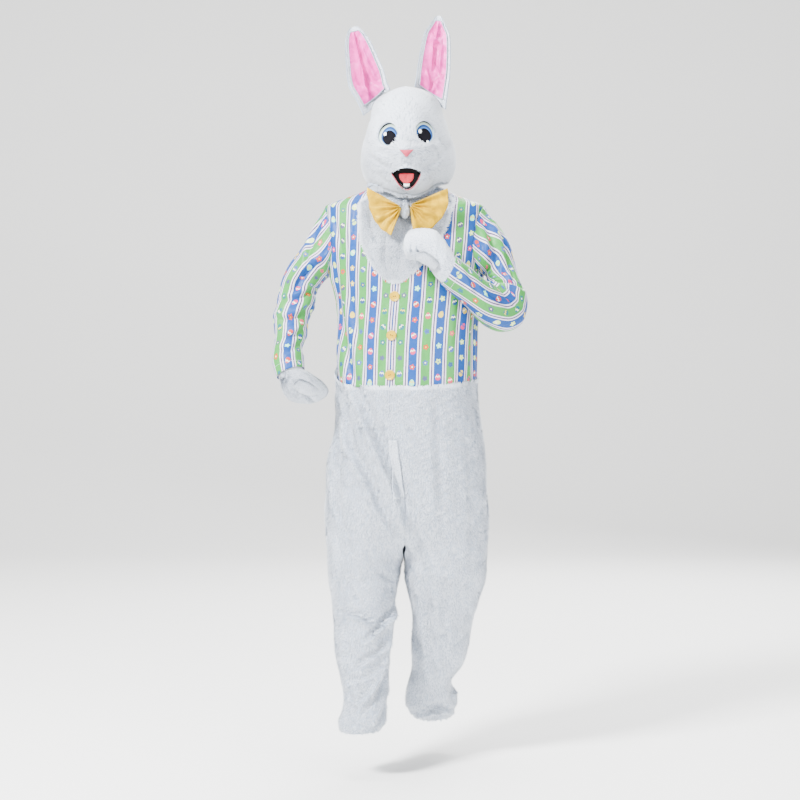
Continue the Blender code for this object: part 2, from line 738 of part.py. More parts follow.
def on_mesh(grid, row, col):
    # Points of a panel between its own corners, so that what lies on it follows its flat faces.
    row, col = np.broadcast_arrays(row, col)
    i = np.clip(np.floor(row).astype(int), 0, grid.shape[0] - 2)
    j = np.clip(np.floor(col).astype(int), 0, grid.shape[1] - 2)
    v = (row - i)[..., None]
    u = (col - j)[..., None]
    low = grid[i, j] * (1 - u) + grid[i, j + 1] * u
    return low * (1 - v) + (grid[i + 1, j] * (1 - u) + grid[i + 1, j + 1] * u) * v


def lobe(name, grid, normals, rows, cols, lift, height):
    # A padded piece that lies on a panel, highest in its middle.
    skin = on_mesh(grid, rows, cols)
    out = unit(on_mesh(normals, rows, cols))
    v = np.linspace(-1, 1, skin.shape[0])[:, None]
    u = np.linspace(-1, 1, skin.shape[1])[None, :]
    dome = np.sqrt(np.clip((1.03 - u**2) * (1.03 - v**2), 0, 1))[..., None]
    shell(name, skin + out * (lift + 0.0005 + height * dome), skin + out * lift)


def build_thumbs(hands):
    for word, first, last, root, tip, spread, height in THUMBS:
        grid, normals = hands[word]
        share = np.linspace(0, 1, 9)[:, None]
        across = np.linspace(-1, 1, 7)[None, :]
        wide = spread * (0.35 + 0.65 * np.sqrt(np.sin(np.pi * (0.08 + 0.84 * share))))
        cols = root + (tip - root) * share + wide * across
        rows = first + (last - first) * share + 0 * across
        lobe(f"mitt_{word}_thumb", grid, normals, rows, cols, THUMB_LIFT, height)


# Head mask with its face

def head_reach(sideways, lift):
    side = read(HEAD_SIDE, lift, 1)
    front = read(HEAD_FRONT, lift, 1)
    back = read(HEAD_BACK, lift, 1)
    ahead = np.cos(np.radians(sideways))
    forward = side + (front - side) * np.exp(-((sideways / 38) ** 2))
    behind = side + (back - side) * ahead**2
    reach = np.where(ahead > 0, forward, behind)
    for at, up, high, wide in HEAD_BUMPS:
        turn = (sideways - at + 180) % 360 - 180
        far = (turn * np.cos(np.radians(lift))) ** 2 + (lift - up) ** 2
        reach = reach + high * np.exp(-far / wide**2)
    return reach


def rolled(v, degrees):
    c = np.cos(np.radians(degrees))
    s = np.sin(np.radians(degrees))
    return np.stack([v[..., 0] * c - v[..., 2] * s, v[..., 1], v[..., 0] * s + v[..., 2] * c], -1)


def head_point(sideways, lift):
    a = np.radians(sideways)
    e = np.radians(lift)
    way = np.stack([np.sin(a) * np.cos(e), -np.cos(a) * np.cos(e), np.sin(e)], -1)
    return HEAD_MIDDLE + rolled(way * head_reach(sideways, lift)[..., None], HEAD_ROLL)


def head_surface(x, y):
    # The head opened flat: the crown at 0, 0 and the rim on the unit circle.
    r = np.hypot(x, y)
    sideways = np.degrees(np.arctan2(x, -y))
    around = (sideways + 180) % 360 - 180
    low = -46 - 7 * np.exp(-((around / 38) ** 2))
    lift = 90 - np.clip(r / 0.85, 0, 1) * (90 - low)
    shape = head_point(around, lift)
    rim = torso(around, np.full_like(r, HEAD_RIM_HEIGHT))
    rim = rim + torso_normal(around, np.full_like(r, HEAD_RIM_HEIGHT)) * (PROUD + 0.0006 + HEAD_WALL)
    share = np.clip((r - 0.85) / 0.15, 0, 1)[..., None]
    return shape + (rim - shape) * share


def head_panel(name, facing, across, along):
    p = np.linspace(-1, 1, across)[None, :]
    q = np.linspace(0, 1, along)[:, None]
    x = (1 - q) * 0.5 * p + q * np.sin(p * np.pi / 2)
    y = -q * np.cos(p * np.pi / 2) * facing
    x, y = np.broadcast_arrays(x, y)
    points = head_surface(x, y)
    step = 0.004
    east = head_surface(x + step, y) - head_surface(x - step, y)
    north = head_surface(x, y + step) - head_surface(x, y - step)
    normals = unit(np.cross(east, north))
    facing_out = np.sum(normals * (points - HEAD_MIDDLE), -1, keepdims=True)
    normals = normals * np.where(facing_out > 0, 1.0, -1.0)
    sideways = np.degrees(np.arctan2(x[-1], -y[-1]))
    normals[-1] = torso_normal(sideways, np.full(sideways.shape, HEAD_RIM_HEIGHT))
    gap = GAP / 2
    return panel(name, points, normals, HEAD_WALL, (gap, gap, gap, 0))


def face(x, z):
    # Front of the head over a place x, z, and its outward direction.
    def depth(x, z):
        y = np.full(np.shape(x), -0.14)
        for _ in range(12):
            way = rolled(np.stack(np.broadcast_arrays(x, y, z), -1) - HEAD_MIDDLE, -HEAD_ROLL)
            flat = np.hypot(way[..., 0], way[..., 1])
            sideways = np.degrees(np.arctan2(way[..., 0], -way[..., 1]))
            lift = np.degrees(np.arctan2(way[..., 2], flat))
            reach = head_reach(sideways, lift)
            left_over = reach**2 - (x - HEAD_MIDDLE[0]) ** 2 - (z - HEAD_MIDDLE[2]) ** 2
            y = 0.5 * y + 0.5 * (HEAD_MIDDLE[1] - np.sqrt(np.maximum(left_over, 1e-4)))
        return y

    y = depth(x, z)
    lean_x = (depth(x + 0.002, z) - depth(x - 0.002, z)) / 0.004
    lean_z = (depth(x, z + 0.002) - depth(x, z - 0.002)) / 0.004
    points = np.stack(np.broadcast_arrays(x, y, z), -1)
    return points, unit(np.stack([lean_x, -np.ones_like(y), lean_z], -1))


def outline_prism(name, corners):
    # Cutter through the face, hidden in the part.
    count = len(corners)
    near = [(x, -0.30, z) for x, _, z in corners]
    far = [(x, -0.06, z) for x, _, z in corners]
    faces = [tuple(range(count)), tuple(range(2 * count - 1, count - 1, -1))]
    faces += [(k, k + count, (k + 1) % count + count, (k + 1) % count) for k in range(count)]
    mesh = bpy.data.meshes.new(name)
    mesh.from_pydata(near + far, [], faces)
    volume = 0.0
    for polygon in mesh.polygons:
        volume += polygon.center.dot(polygon.normal) * polygon.area
    if volume < 0:
        mesh.flip_normals()
    cutter = bpy.data.objects.new(name, mesh)
    bpy.context.scene.collection.objects.link(cutter)
    cutter.hide_render = True
    cutter.display_type = "WIRE"
    return cutter


def disc_grid(x, z, half_x, half_z, rows, cols, grow):
    # Rounded patch of places x, z.
    u, v = np.meshgrid(np.linspace(-1, 1, cols), np.linspace(-1, 1, rows))
    round_u = u * np.sqrt(1 - v**2 / 2)
    round_v = v * np.sqrt(1 - u**2 / 2)
    return x + (half_x + grow) * round_u, z + (half_z + grow) * round_v, np.hypot(round_u, round_v)


def build_head():
    front = head_panel("head_front", 1, 15, 14)
    head_panel("head_back", -1, 13, 11)
    for word, across, down, half_x, half_z in EYES:
        turn = np.linspace(0, 2 * np.pi, 16, endpoint=False)
        edge = seen(across + half_x * np.cos(turn), down - half_z * np.sin(turn), EYE_Y)
        cutter = outline_prism(f"cut_eye_{word}", edge.tolist())
        cut = front.modifiers.new(f"eye_{word}", "BOOLEAN")
        cut.operation = "DIFFERENCE"
        cut.solver = "MANIFOLD"
        cut.object = cutter
        x, _, z = seen(across, down, EYE_Y)
        grid_x, grid_z, _ = disc_grid(x, z, half_x * STEP, half_z * STEP, 7, 7, 0.003)
        points, normals = face(grid_x, grid_z)
        under = HEAD_WALL + EYE_UNDER
        shell(f"eye_{word}", points - normals * under, points - normals * (under + EYE_WALL))
    corners = np.array(MOUTH)
    down = (corners[:, 1] - MOUTH[3][1]) / (MOUTH[10][1] - MOUTH[3][1])
    depth = MOUTH_TOP_Y + (MOUTH_LOW_Y - MOUTH_TOP_Y) * down
    edge = seen(corners[:, 0], corners[:, 1], depth)
    cutter = outline_prism("cut_mouth", edge.tolist())
    cut = front.modifiers.new("mouth", "BOOLEAN")
    cut.operation = "DIFFERENCE"
    cut.solver = "MANIFOLD"
    cut.object = cutter

    x, _, z = seen(406.2, 179.0, MOUTH_TOP_Y)
    grid_x, grid_z, far = disc_grid(x, z + 0.001, 0.043, 0.028, 8, 9, 0.002)
    points, normals = face(grid_x, grid_z)
    under = HEAD_WALL + LINING_UNDER + LINING_BOWL * (1 - smooth(far))[..., None]
    lining = points - normals * under
    shell("mouth_lining", lining, lining - normals * LINING_WALL)
    v = np.linspace(0, 1, 6)[:, None]
    u = np.linspace(-1, 1, 8)[None, :]
    rows = 1.25 + 3.75 * v + 0 * u
    cols = 4.0 + 2.1 * u * np.sqrt(1.05 - (1 - v) ** 2.5)
    lobe("tongue", lining, normals, rows, cols, 0.0005, 0.007)
    rows = 0.3 + 0.8 * v[::2] + 0 * u[:, ::2]
    cols = 4.05 + 1.0 * u[:, ::2] + 0 * v[::2]
    lobe("tooth", lining, normals, rows, cols, 0.0005, 0.005)

    # Nose: a padded triangle, point down
    low = seen(406.5, 157.2, -0.155)
    high = seen(np.array((399.5, 414.0)), 150.4, -0.15)
    v = np.linspace(0, 1, 5)[:, None]
    u = np.linspace(-1, 1, 6)[None, :]
    wide = (high[1, 0] - high[0, 0]) / 2 * (0.15 + 0.85 * v)
    grid_x = (high[:, 0].mean() * v + low[0] * (1 - v)) + wide * u
    grid_z = low[2] + (high[:, 2].mean() - low[2]) * v + 0 * u
    points, normals = face(grid_x, grid_z)
    dome = 0.0005 + 0.006 * np.sqrt(np.clip((1 - u**2) * (1 - (2 * v - 1) ** 2), 0, 1))[..., None]
    shell("nose", points + normals * (0.0004 + dome), points + normals * 0.0004)


# Ears: a plush back and a pink satin front

def clear_of_head(points, clearance):
    way = rolled(points - HEAD_MIDDLE, -HEAD_ROLL)
    flat = np.hypot(way[..., 0], way[..., 1])
    sideways = np.degrees(np.arctan2(way[..., 0], -way[..., 1]))
    lift = np.degrees(np.arctan2(way[..., 2], flat))
    length = np.linalg.norm(way, axis=-1)
    push = np.maximum(head_reach(sideways, lift) + clearance, length) / length
    return HEAD_MIDDLE + (points - HEAD_MIDDLE) * push[..., None]


def ear_surface(ear, s, u):
    _, base_x, base_z, tip_x, tip_z, arc_from, arc_to, widths = ear
    base = seen(base_x, base_z, 0.0)
    tip = seen(tip_x, tip_z, 0.0)
    axis = unit(tip - base)
    side = np.array((axis[2], 0.0, -axis[0]))
    s, u = np.broadcast_arrays(s, u)
    half = read(widths, s, 1)
    cup = half * (0.34 + 0.34 * (1 - smooth(s / 0.35)))
    y = 0.008 - cup * np.abs(u) ** 2.2 - 0.006 * s
    flat = base + (tip - base) * s[..., None] + side * (half * u)[..., None]
    points = flat + np.array((0.0, 1.0, 0.0)) * y[..., None]
    share = (u + 1) / 2
    arc_x = arc_from[0] + (arc_to[0] - arc_from[0]) * share
    arc_z = arc_from[1] + (arc_to[1] - arc_from[1]) * share
    arc = seen(arc_x, arc_z, 0.0)
    start = base + side * (half * u)[..., None]
    return points + (arc - start) * (1 - smooth(s / 0.3))[..., None]


def build_ears():
    for ear in EARS:
        word = ear[0]
        lengths = np.array((0, 0.1, 0.2, 0.3, 0.42, 0.54, 0.66, 0.78, 0.88, 0.95, 1.0))[:, None]
        across = np.linspace(-1, 1, 9)[None, :]
        face_points = ear_surface(ear, lengths, across)
        normals = grid_normals(face_points, face_points + np.array((0.0, 1.0, 0.0)), False)
        behind = clear_of_head(face_points - normals * PLUSH, 0.0008)
        shell(f"ear_back_{word}", clear_of_head(face_points, 0.0008), behind)
        lengths = np.array((0.1, 0.2, 0.3, 0.42, 0.54, 0.66, 0.78, 0.88, 0.95))[:, None]
        across = across * 0.86
        face_points = ear_surface(ear, lengths, across)
        normals = grid_normals(face_points, face_points + np.array((0.0, 1.0, 0.0)), False)
        near = clear_of_head(face_points + normals * (0.0012 + EAR_SATIN), 0.0012)
        shell(f"ear_front_{word}", near, clear_of_head(face_points + normals * 0.0012, 0.0012))


# Bow tie at the throat and the buttons of the front

def bow_wing(name, table, across, down):
    first = table[0][0]
    last = table[-1][0]
    fan = np.linspace(first, last, 13)[:, None]
    path = np.linspace(0, 1, 15)[None, :]
    reach = read(table, fan, 1)
    # The band runs out along the front, turns over at the end and comes back behind.
    out = 1 - np.abs(2 * path - 1) ** 3
    swing = 2 * path - 1
    pleat = 0.0028 * np.cos((fan - first) / (last - first) * 9 * np.pi)
    deep = 0.0025 + 0.0075 * np.sin(np.pi * out / 2)
    y = BOW_Y + deep * np.sign(swing) * np.abs(swing) ** 0.5 + pleat * (1 - 0.6 * out)
    length = 0.005 + (reach - 0.005) * out
    turn = np.radians(fan)
    start = seen(across, down, BOW_Y)
    x = start[0] + length * np.cos(turn)
    z = start[2] + length * np.sin(turn)
    points = np.stack(np.broadcast_arrays(x, y, z), -1)
    middle = points.mean(axis=1, keepdims=True)
    normals = grid_normals(points, middle, False)
    shell(name, points, points - normals * BOW_WALL)


def build_bow():
    bow_wing("bow_wing_right", BOW_RIGHT, 401.6, 207.0)
    bow_wing("bow_wing_left", BOW_LEFT, 410.2, 205.5)
    middle = seen(*KNOT_PLACE)
    blob("bow_knot", middle, ((0, 0, 1), (1, 0, 0), (0, 1, 0)), KNOT_RADII, 8, 12)


def build_buttons():
    # radius, height of the profile of a button
    profile = ((0.0, 0.0), (0.013, 0.0), (0.014, 0.0012), (0.0138, 0.0032), (0.0127, 0.004))
    profile += ((0.0111, 0.0036), (0.0099, 0.0026), (0.0, 0.0026))
    around = 16
    turn = np.linspace(0, 2 * np.pi, around, endpoint=False)
    for number, height in enumerate(BUTTON_HEIGHTS, 1):
        spot = torso(0.0, height)
        out = torso_normal(0.0, height)
        side = unit(np.cross((0.0, 0.0, 1.0), out))
        up = np.cross(out, side)
        points = [spot + out * 0.0006]
        for radius, lift in profile[1:-1]:
            circle = np.cos(turn)[:, None] * side + np.sin(turn)[:, None] * up
            points.extend(spot + out * (0.0006 + lift) + circle * radius)
        points.append(spot + out * (0.0006 + profile[-1][1]))
        rows = len(profile) - 2
        index = 1 + np.arange(rows * around).reshape(rows, around)
        index = np.concatenate([index, index[:, :1]], axis=1)
        a, b, c, d = index[:-1, :-1], index[:-1, 1:], index[1:, 1:], index[1:, :-1]
        faces = [quad(a, b, c, d, np.zeros(a.shape, bool))]
        faces.append(np.stack([np.zeros(around, int), index[0, 1:], index[0, :-1]], -1))
        end = np.full(around, 1 + rows * around)
        faces.append(np.stack([end, index[-1, :-1], index[-1, 1:]], -1))
        add_mesh(f"button_{number}", points, np.concatenate(faces))


def main():
    for obj in list(bpy.data.objects):
        bpy.data.objects.remove(obj, do_unlink=True)
    build_bodice()
    build_trousers()
    hands = {word: build_arm(side, word) for side, word in ((-1, "right"), (1, "left"))}
    build_thumbs(hands)
    build_head()
    build_ears()
    build_bow()
    build_buttons()


main()
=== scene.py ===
import bpy
import numpy as np
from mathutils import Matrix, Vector


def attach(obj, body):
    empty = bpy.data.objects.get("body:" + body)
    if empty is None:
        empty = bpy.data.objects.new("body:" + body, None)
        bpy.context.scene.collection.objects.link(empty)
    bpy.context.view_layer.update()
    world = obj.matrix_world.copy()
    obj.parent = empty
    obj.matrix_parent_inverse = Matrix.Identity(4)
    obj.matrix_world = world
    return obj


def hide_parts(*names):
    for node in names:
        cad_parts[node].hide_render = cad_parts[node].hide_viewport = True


# Easter bunny costume in the shape it has when worn: striped satin bodice and sleeves, white plush
# trousers, bib, mitts and head mask, satin ears and bow. Metres, +Z up, the front towards -Y.
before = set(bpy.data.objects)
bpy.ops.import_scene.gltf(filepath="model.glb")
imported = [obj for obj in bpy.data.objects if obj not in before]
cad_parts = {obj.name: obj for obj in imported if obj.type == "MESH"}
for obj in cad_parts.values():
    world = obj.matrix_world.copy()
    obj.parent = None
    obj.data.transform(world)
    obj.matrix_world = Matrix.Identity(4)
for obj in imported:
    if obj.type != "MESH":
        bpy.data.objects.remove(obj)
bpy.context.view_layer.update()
print("frame loaded:", len(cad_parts), "solids")

# Front outlines are read in steps of 2.76 mm from a corner, as they look from 5 m in front.
outlineSteps = {
    "step": 0.00276, "neckAcross": 407.0, "neckDown": 200.0, "eyeX": -0.019, "eyeZ": -0.41, "away": 5.0
}


def readTable(rows, at, column):  # smooth curve through one column, without overshoot
    table = np.array(rows, float)
    table = table[np.argsort(table[:, 0])]
    x, y = table[:, 0], table[:, column]
    step = np.diff(x)
    rise = np.diff(y) / step
    slope = np.zeros(len(x))
    slope[0], slope[-1] = rise[0], rise[-1]
    same = rise[:-1] * rise[1:] > 0
    total = np.where(same, rise[:-1] + rise[1:], 1.0)
    slope[1:-1] = np.where(same, 2 * rise[:-1] * rise[1:] / total, 0.0)
    at = np.asarray(at, float)
    k = np.clip(np.searchsorted(x, at) - 1, 0, len(x) - 2)
    t = np.clip((at - x[k]) / step[k], 0, 1)
    near = (2 * t**3 - 3 * t**2 + 1) * y[k] + (t**3 - 2 * t**2 + t) * slope[k] * step[k]
    return near + (3 * t**2 - 2 * t**3) * y[k + 1] + (t**3 - t**2) * slope[k + 1] * step[k]


def ease(t):
    t = np.clip(t, 0, 1)
    return t * t * (3 - 2 * t)


def unit(v):
    return v / np.maximum(np.linalg.norm(v, axis=-1, keepdims=True), 1e-12)


def flatPlace(across, down):  # outline steps to x, z at the depth of the neck
    x = (np.asarray(across, float) - outlineSteps["neckAcross"]) * outlineSteps["step"]
    z = (outlineSteps["neckDown"] - np.asarray(down, float)) * outlineSteps["step"]
    return x, z


def truePlace(across, down, y):  # where an outline point lies at depth y
    x, z = flatPlace(across, down)
    grow = 1 + np.asarray(y, float) / outlineSteps["away"]
    x = outlineSteps["eyeX"] + (x - outlineSteps["eyeX"]) * grow
    z = outlineSteps["eyeZ"] + (z - outlineSteps["eyeZ"]) * grow
    return np.stack(np.broadcast_arrays(x, y, z), axis=-1)


def meshPiece(name, points, faces, finish, uv=None, smooth=True):
    mesh = bpy.data.meshes.new(name)
    mesh.from_pydata(np.asarray(points, float).tolist(), [], np.asarray(faces).tolist())
    mesh.materials.append(finish)
    if uv is not None:
        layer = mesh.uv_layers.new(name="cut")
        order = np.empty(len(mesh.loops), np.int32)
        mesh.loops.foreach_get("vertex_index", order)
        layer.data.foreach_set("uv", np.asarray(uv, np.float32)[order].ravel())
    if smooth:
        mesh.shade_smooth()
    piece = bpy.data.objects.new(name, mesh)
    bpy.context.scene.collection.objects.link(piece)
    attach(piece, "root")
    return piece


def clothShell(name, outer, normals, wall, finish, cut=None, keep=None):
    # Grid of cloth with a right side, a wrong side and closed rims; keep drops squares out of it.
    rows, cols = outer.shape[:2]
    inner = outer - normals * wall
    shift = rows * cols
    squares = gridFaces(rows, cols)
    keep = np.ones(squares.shape[:2], bool) if keep is None else keep
    top = squares[keep]
    mid = squares.shape[0] // 2, squares.shape[1] // 2
    a, b, d = (outer.reshape(-1, 3)[squares[mid]][k] for k in (0, 1, 3))
    if np.cross(b - a, d - a) @ normals[mid] < 0:
        top = top[:, ::-1]
    edges = np.concatenate([top[:, [k, (k + 1) % 4]] for k in range(4)])
    key = edges[:, 0].astype(np.int64) * shift + edges[:, 1]
    back = edges[:, 1].astype(np.int64) * shift + edges[:, 0]
    rim = edges[~np.isin(key, back)]
    faces = [
        top, top[:, ::-1] + shift,
        np.stack([rim[:, 1], rim[:, 0], rim[:, 0] + shift, rim[:, 1] + shift], -1)
    ]
    points = np.concatenate([outer.reshape(-1, 3), inner.reshape(-1, 3)])
    uv = None if cut is None else np.concatenate([cut.reshape(-1, 2)] * 2)
    used = np.unique(np.concatenate([f.ravel() for f in faces]))
    place = np.zeros(2 * shift, int)
    place[used] = np.arange(len(used))
    faces = np.concatenate([place[f] for f in faces])
    return meshPiece(name, points[used], faces, finish, None if uv is None else uv[used])


def gridFaces(rows, cols):
    index = np.arange(rows * cols).reshape(rows, cols)
    return np.stack([index[:-1, :-1], index[:-1, 1:], index[1:, 1:], index[1:, :-1]], -1)


def circleOn(across, up, turns):
    return np.cos(turns)[:, None] * across + np.sin(turns)[:, None] * up


def gridNormals(points, wrap=False):
    across = np.roll(points, -1, axis=1) - np.roll(points, 1, axis=1) if wrap else np.gradient(points, axis=1)
    return unit(np.cross(across, np.gradient(points, axis=0)))


def outward(points, normals, middle):
    return normals * (1.0 if np.sum(normals * (points - middle)) > 0 else -1.0)


def between(grid, row, col):  # values of a grid between its own corners
    i = np.clip(np.floor(row).astype(int), 0, grid.shape[0] - 2)
    j = np.clip(np.floor(col).astype(int), 0, grid.shape[1] - 2)
    v, u = (row - i)[..., None], (col - j)[..., None]
    low = grid[i, j] * (1 - u) + grid[i, j + 1] * u
    return low * (1 - v) + (grid[i + 1, j] * (1 - u) + grid[i + 1, j + 1] * u) * v


def arcAlong(points, axis):  # length of the cloth from the first row or column
    step = np.linalg.norm(np.diff(points, axis=axis), axis=-1)
    zero = np.zeros_like(np.take(step, [0], axis=axis))
    return np.cumsum(np.concatenate([zero, step], axis=axis), axis=axis)


def declareCloth(piece, grid):
    # The flat size is what the pattern piece measures across, along and in area.
    a, b, c, d = grid[:-1, :-1], grid[:-1, 1:], grid[1:, 1:], grid[1:, :-1]
    area = np.linalg.norm(np.cross(c - a, d - b), axis=-1).sum() / 2
    wide = float(arcAlong(grid, 1)[:, -1].max())
    long = float(arcAlong(grid, 0)[-1].max())
    wide = min(wide, float(area) / (0.4 * long))
    area = min(float(area), wide * long)
    print(f"  {piece.name}: cut {wide * 1000:.0f} x {long * 1000:.0f} mm, {area:.3f} square metres")


def creaseDepth(creases, x, z):
    # Troughs with a softer ridge beside them. Each row: depth, width, ridge share, path in outline steps.
    dip = np.zeros(np.shape(x))
    for depth, width, ridge, *path in creases:
        px, pz = flatPlace(*np.array(path, float).T)
        runs = np.concatenate([[0], np.cumsum(np.hypot(np.diff(px), np.diff(pz)))])
        best = np.full(np.shape(x), 9.0)
        side = np.zeros(np.shape(x))
        gone = np.zeros(np.shape(x))
        for k in range(len(px) - 1):
            ax, az = px[k + 1] - px[k], pz[k + 1] - pz[k]
            long = max(np.hypot(ax, az), 1e-6)
            t = np.clip(((x - px[k]) * ax + (z - pz[k]) * az) / long**2, 0, 1)
            off = np.hypot(x - px[k] - t * ax, z - pz[k] - t * az)
            nearer = off < best
            turn = np.sign((x - px[k]) * az - (z - pz[k]) * ax)
            side = np.where(nearer, turn, side)
            gone = np.where(nearer, (runs[k] + t * long) / runs[-1], gone)
            best = np.where(nearer, off, best)
        fade = np.sqrt(np.clip(np.sin(np.pi * np.clip(gone, 0.02, 0.98)), 0, 1))
        signed = best * side
        trough = np.exp(-((signed / width) ** 2))
        bank = np.exp(-(((signed - 1.9 * width) / (1.3 * width)) ** 2))
        dip = dip + depth * fade * (ridge * bank - trough)
    return dip


def wander(points, seed, scale):  # smooth unevenness from -1 to 1, about one hump per scale
    rng = np.random.default_rng(seed)
    total = np.zeros(points.shape[:-1])
    for k in range(7):
        way = rng.normal(size=3)
        way = way / np.linalg.norm(way) * 2 * np.pi / (scale * rng.uniform(0.8, 2.2))
        total = total + np.sin(points @ way + rng.uniform(0, 6.28)) / 7
    return np.clip(total * 1.9, -1, 1)


def growPile(name, grid, normals, pile, seed, finish, keep=None, comb=None):
    # Thin fibres rooted in the cloth, combed one way and drawn together in small tufts.
    rng = np.random.default_rng(seed)
    a, b, c, d = grid[:-1, :-1], grid[:-1, 1:], grid[1:, :-1], grid[1:, 1:]
    area = np.linalg.norm(np.cross(b - a, c - a), axis=-1) + np.linalg.norm(np.cross(d - b, d - c), axis=-1)
    if keep is not None:
        area = area * keep
    share = np.cumsum(area.ravel()) / area.sum()
    cell = np.searchsorted(share, rng.random(pile["count"]))
    row = cell // area.shape[1] + rng.random(pile["count"])
    col = cell % area.shape[1] + rng.random(pile["count"])
    root = between(grid, row, col)
    out = unit(between(normals, row, col))
    if comb is None:
        comb = (0.0, 0.0, -1.0)
    way = comb(root) if callable(comb) else np.array(comb) * np.ones_like(root)
    stray = np.stack([wander(root, seed + k, pile["swirlScale"]) for k in range(3)], -1)
    way = way + stray * pile["swirl"] + rng.normal(0, pile["loose"], root.shape)
    way = unit(way - out * np.sum(way * out, -1, keepdims=True))
    rise = pile["rise"] * (1 + 0.18 * wander(root, seed + 5, 0.03) + rng.uniform(-0.22, 0.05, len(root)))
    reach = pile["reach"] * rng.uniform(0.6, 1.1, len(root))
    tip = root + out * rise[:, None] + way * reach[:, None]
    tuft = pile["tuft"]
    warp = np.stack([wander(root, seed + 9 + k, tuft * 3.2) for k in range(3)], -1)
    slot = np.floor(root / tuft + 1.4 * warp)
    _, group = np.unique(slot.astype(int), axis=0, return_inverse=True)
    group = group.ravel()
    count = np.bincount(group)[:, None]
    middle = np.stack([np.bincount(group, tip[:, k]) for k in range(3)], -1) / count
    pull = (middle[group] - tip) * pile["gather"]
    tip = tip + pull - out * np.sum(pull * out, -1, keepdims=True)
    side = unit(np.cross(out, tip - root)) * pile["width"] / 2
    points = np.stack([root - side, root + side, tip], axis=1)
    facing = np.sum(np.cross(points[:, 1] - points[:, 0], points[:, 2] - points[:, 0]) * out, -1)
    points[facing < 0] = points[facing < 0][:, [1, 0, 2]]
    faces = np.arange(len(root) * 3).reshape(-1, 3)
    shade = rng.random(len(root))
    # the second coordinate runs from 0 at the root to 1 at the tip: the pile finish paints the roots greyer
    # along it, painted shade within the pile
    uv = np.stack([np.repeat(shade[:, None], 3, 1), np.tile((0.0, 0.0, 1.0), (len(root), 1))], -1)
    piece = meshPiece(name, points.reshape(-1, 3), faces, finish, uv.reshape(-1, 2))
    soft = unit(np.repeat(out, 3, axis=0) + np.repeat(way, 3, axis=0) * pile["shadeLean"])
    piece.data.normals_split_custom_set_from_vertices(soft.tolist())
    return piece


# Finishes


def linearColour(text):  # sRGB hex to linear red, green, blue, alpha
    parts = [int(text[k:k + 2], 16) / 255 for k in (1, 3, 5)]
    return tuple(p / 12.92 if p <= 0.04045 else ((p + 0.055) / 1.055) ** 2.4 for p in parts) + (1.0,)


def addNode(tree, kind, inputs=None, stops=None, **settings):
    node = tree.nodes.new("ShaderNode" + kind)
    for key, value in settings.items():
        setattr(node, key, value)
    for key, value in (inputs or {}).items():
        if isinstance(value, bpy.types.NodeSocket):
            tree.links.new(value, node.inputs[key])
        else:
            node.inputs[key].default_value = linearColour(value) if isinstance(value, str) else value
    if stops:
        ramp = node.color_ramp
        for at, colour in stops[1:-1]:
            ramp.elements.new(at)
        for element, (at, colour) in zip(sorted(ramp.elements, key=lambda e: e.position), stops):
            element.position = at
            element.color = linearColour(colour)
    return node


def calc(tree, operation, *values):  # one sum of a material
    return addNode(tree, "Math", dict(enumerate(values)), operation=operation).outputs[0]


def newFinish(name, **sockets):
    finish = bpy.data.materials.new(name)
    finish.use_nodes = True
    tree = finish.node_tree
    shader = tree.nodes["Principled BSDF"]
    for key, value in sockets.items():
        key = key.replace("_", " ")
        shader.inputs[key].default_value = linearColour(value) if isinstance(value, str) else value
    return finish, tree, shader


# Printed polyester satin, woven with long floats down the piece: a soft shine that runs along the
# stripes, with sharp ink edges. All widths in millimetres.
satinPrint = {
    "repeat": 70.0, "start": 2.0, "pinWhite": 3.3, "pinDark": 3.6, "green": 24.5, "blue": 23.5,
    "inkBlue": "#0C4288", "inkGreen": "#3B8C3F", "inkWhite": "#CFCCDB", "inkPin": "#48315E",
    "motifEvery": 42.0, "eggWide": 6.8, "eggTall": 8.8, "flower": 8.2, "thread": 0.55,
    "inksOnGreen": ("#BE3A20", "#20387F", "#4A3F6E", "#BE3A20", "#125F72", "#3C4F9A", "#CD2E5C", "#4A3F6E"),
    "inksOnBlue": ("#BE3A20", "#BFE07A", "#DCC040", "#CD2E5C", "#BFE07A", "#8FE8B8", "#BE3A20", "#D2EE8A"),
}


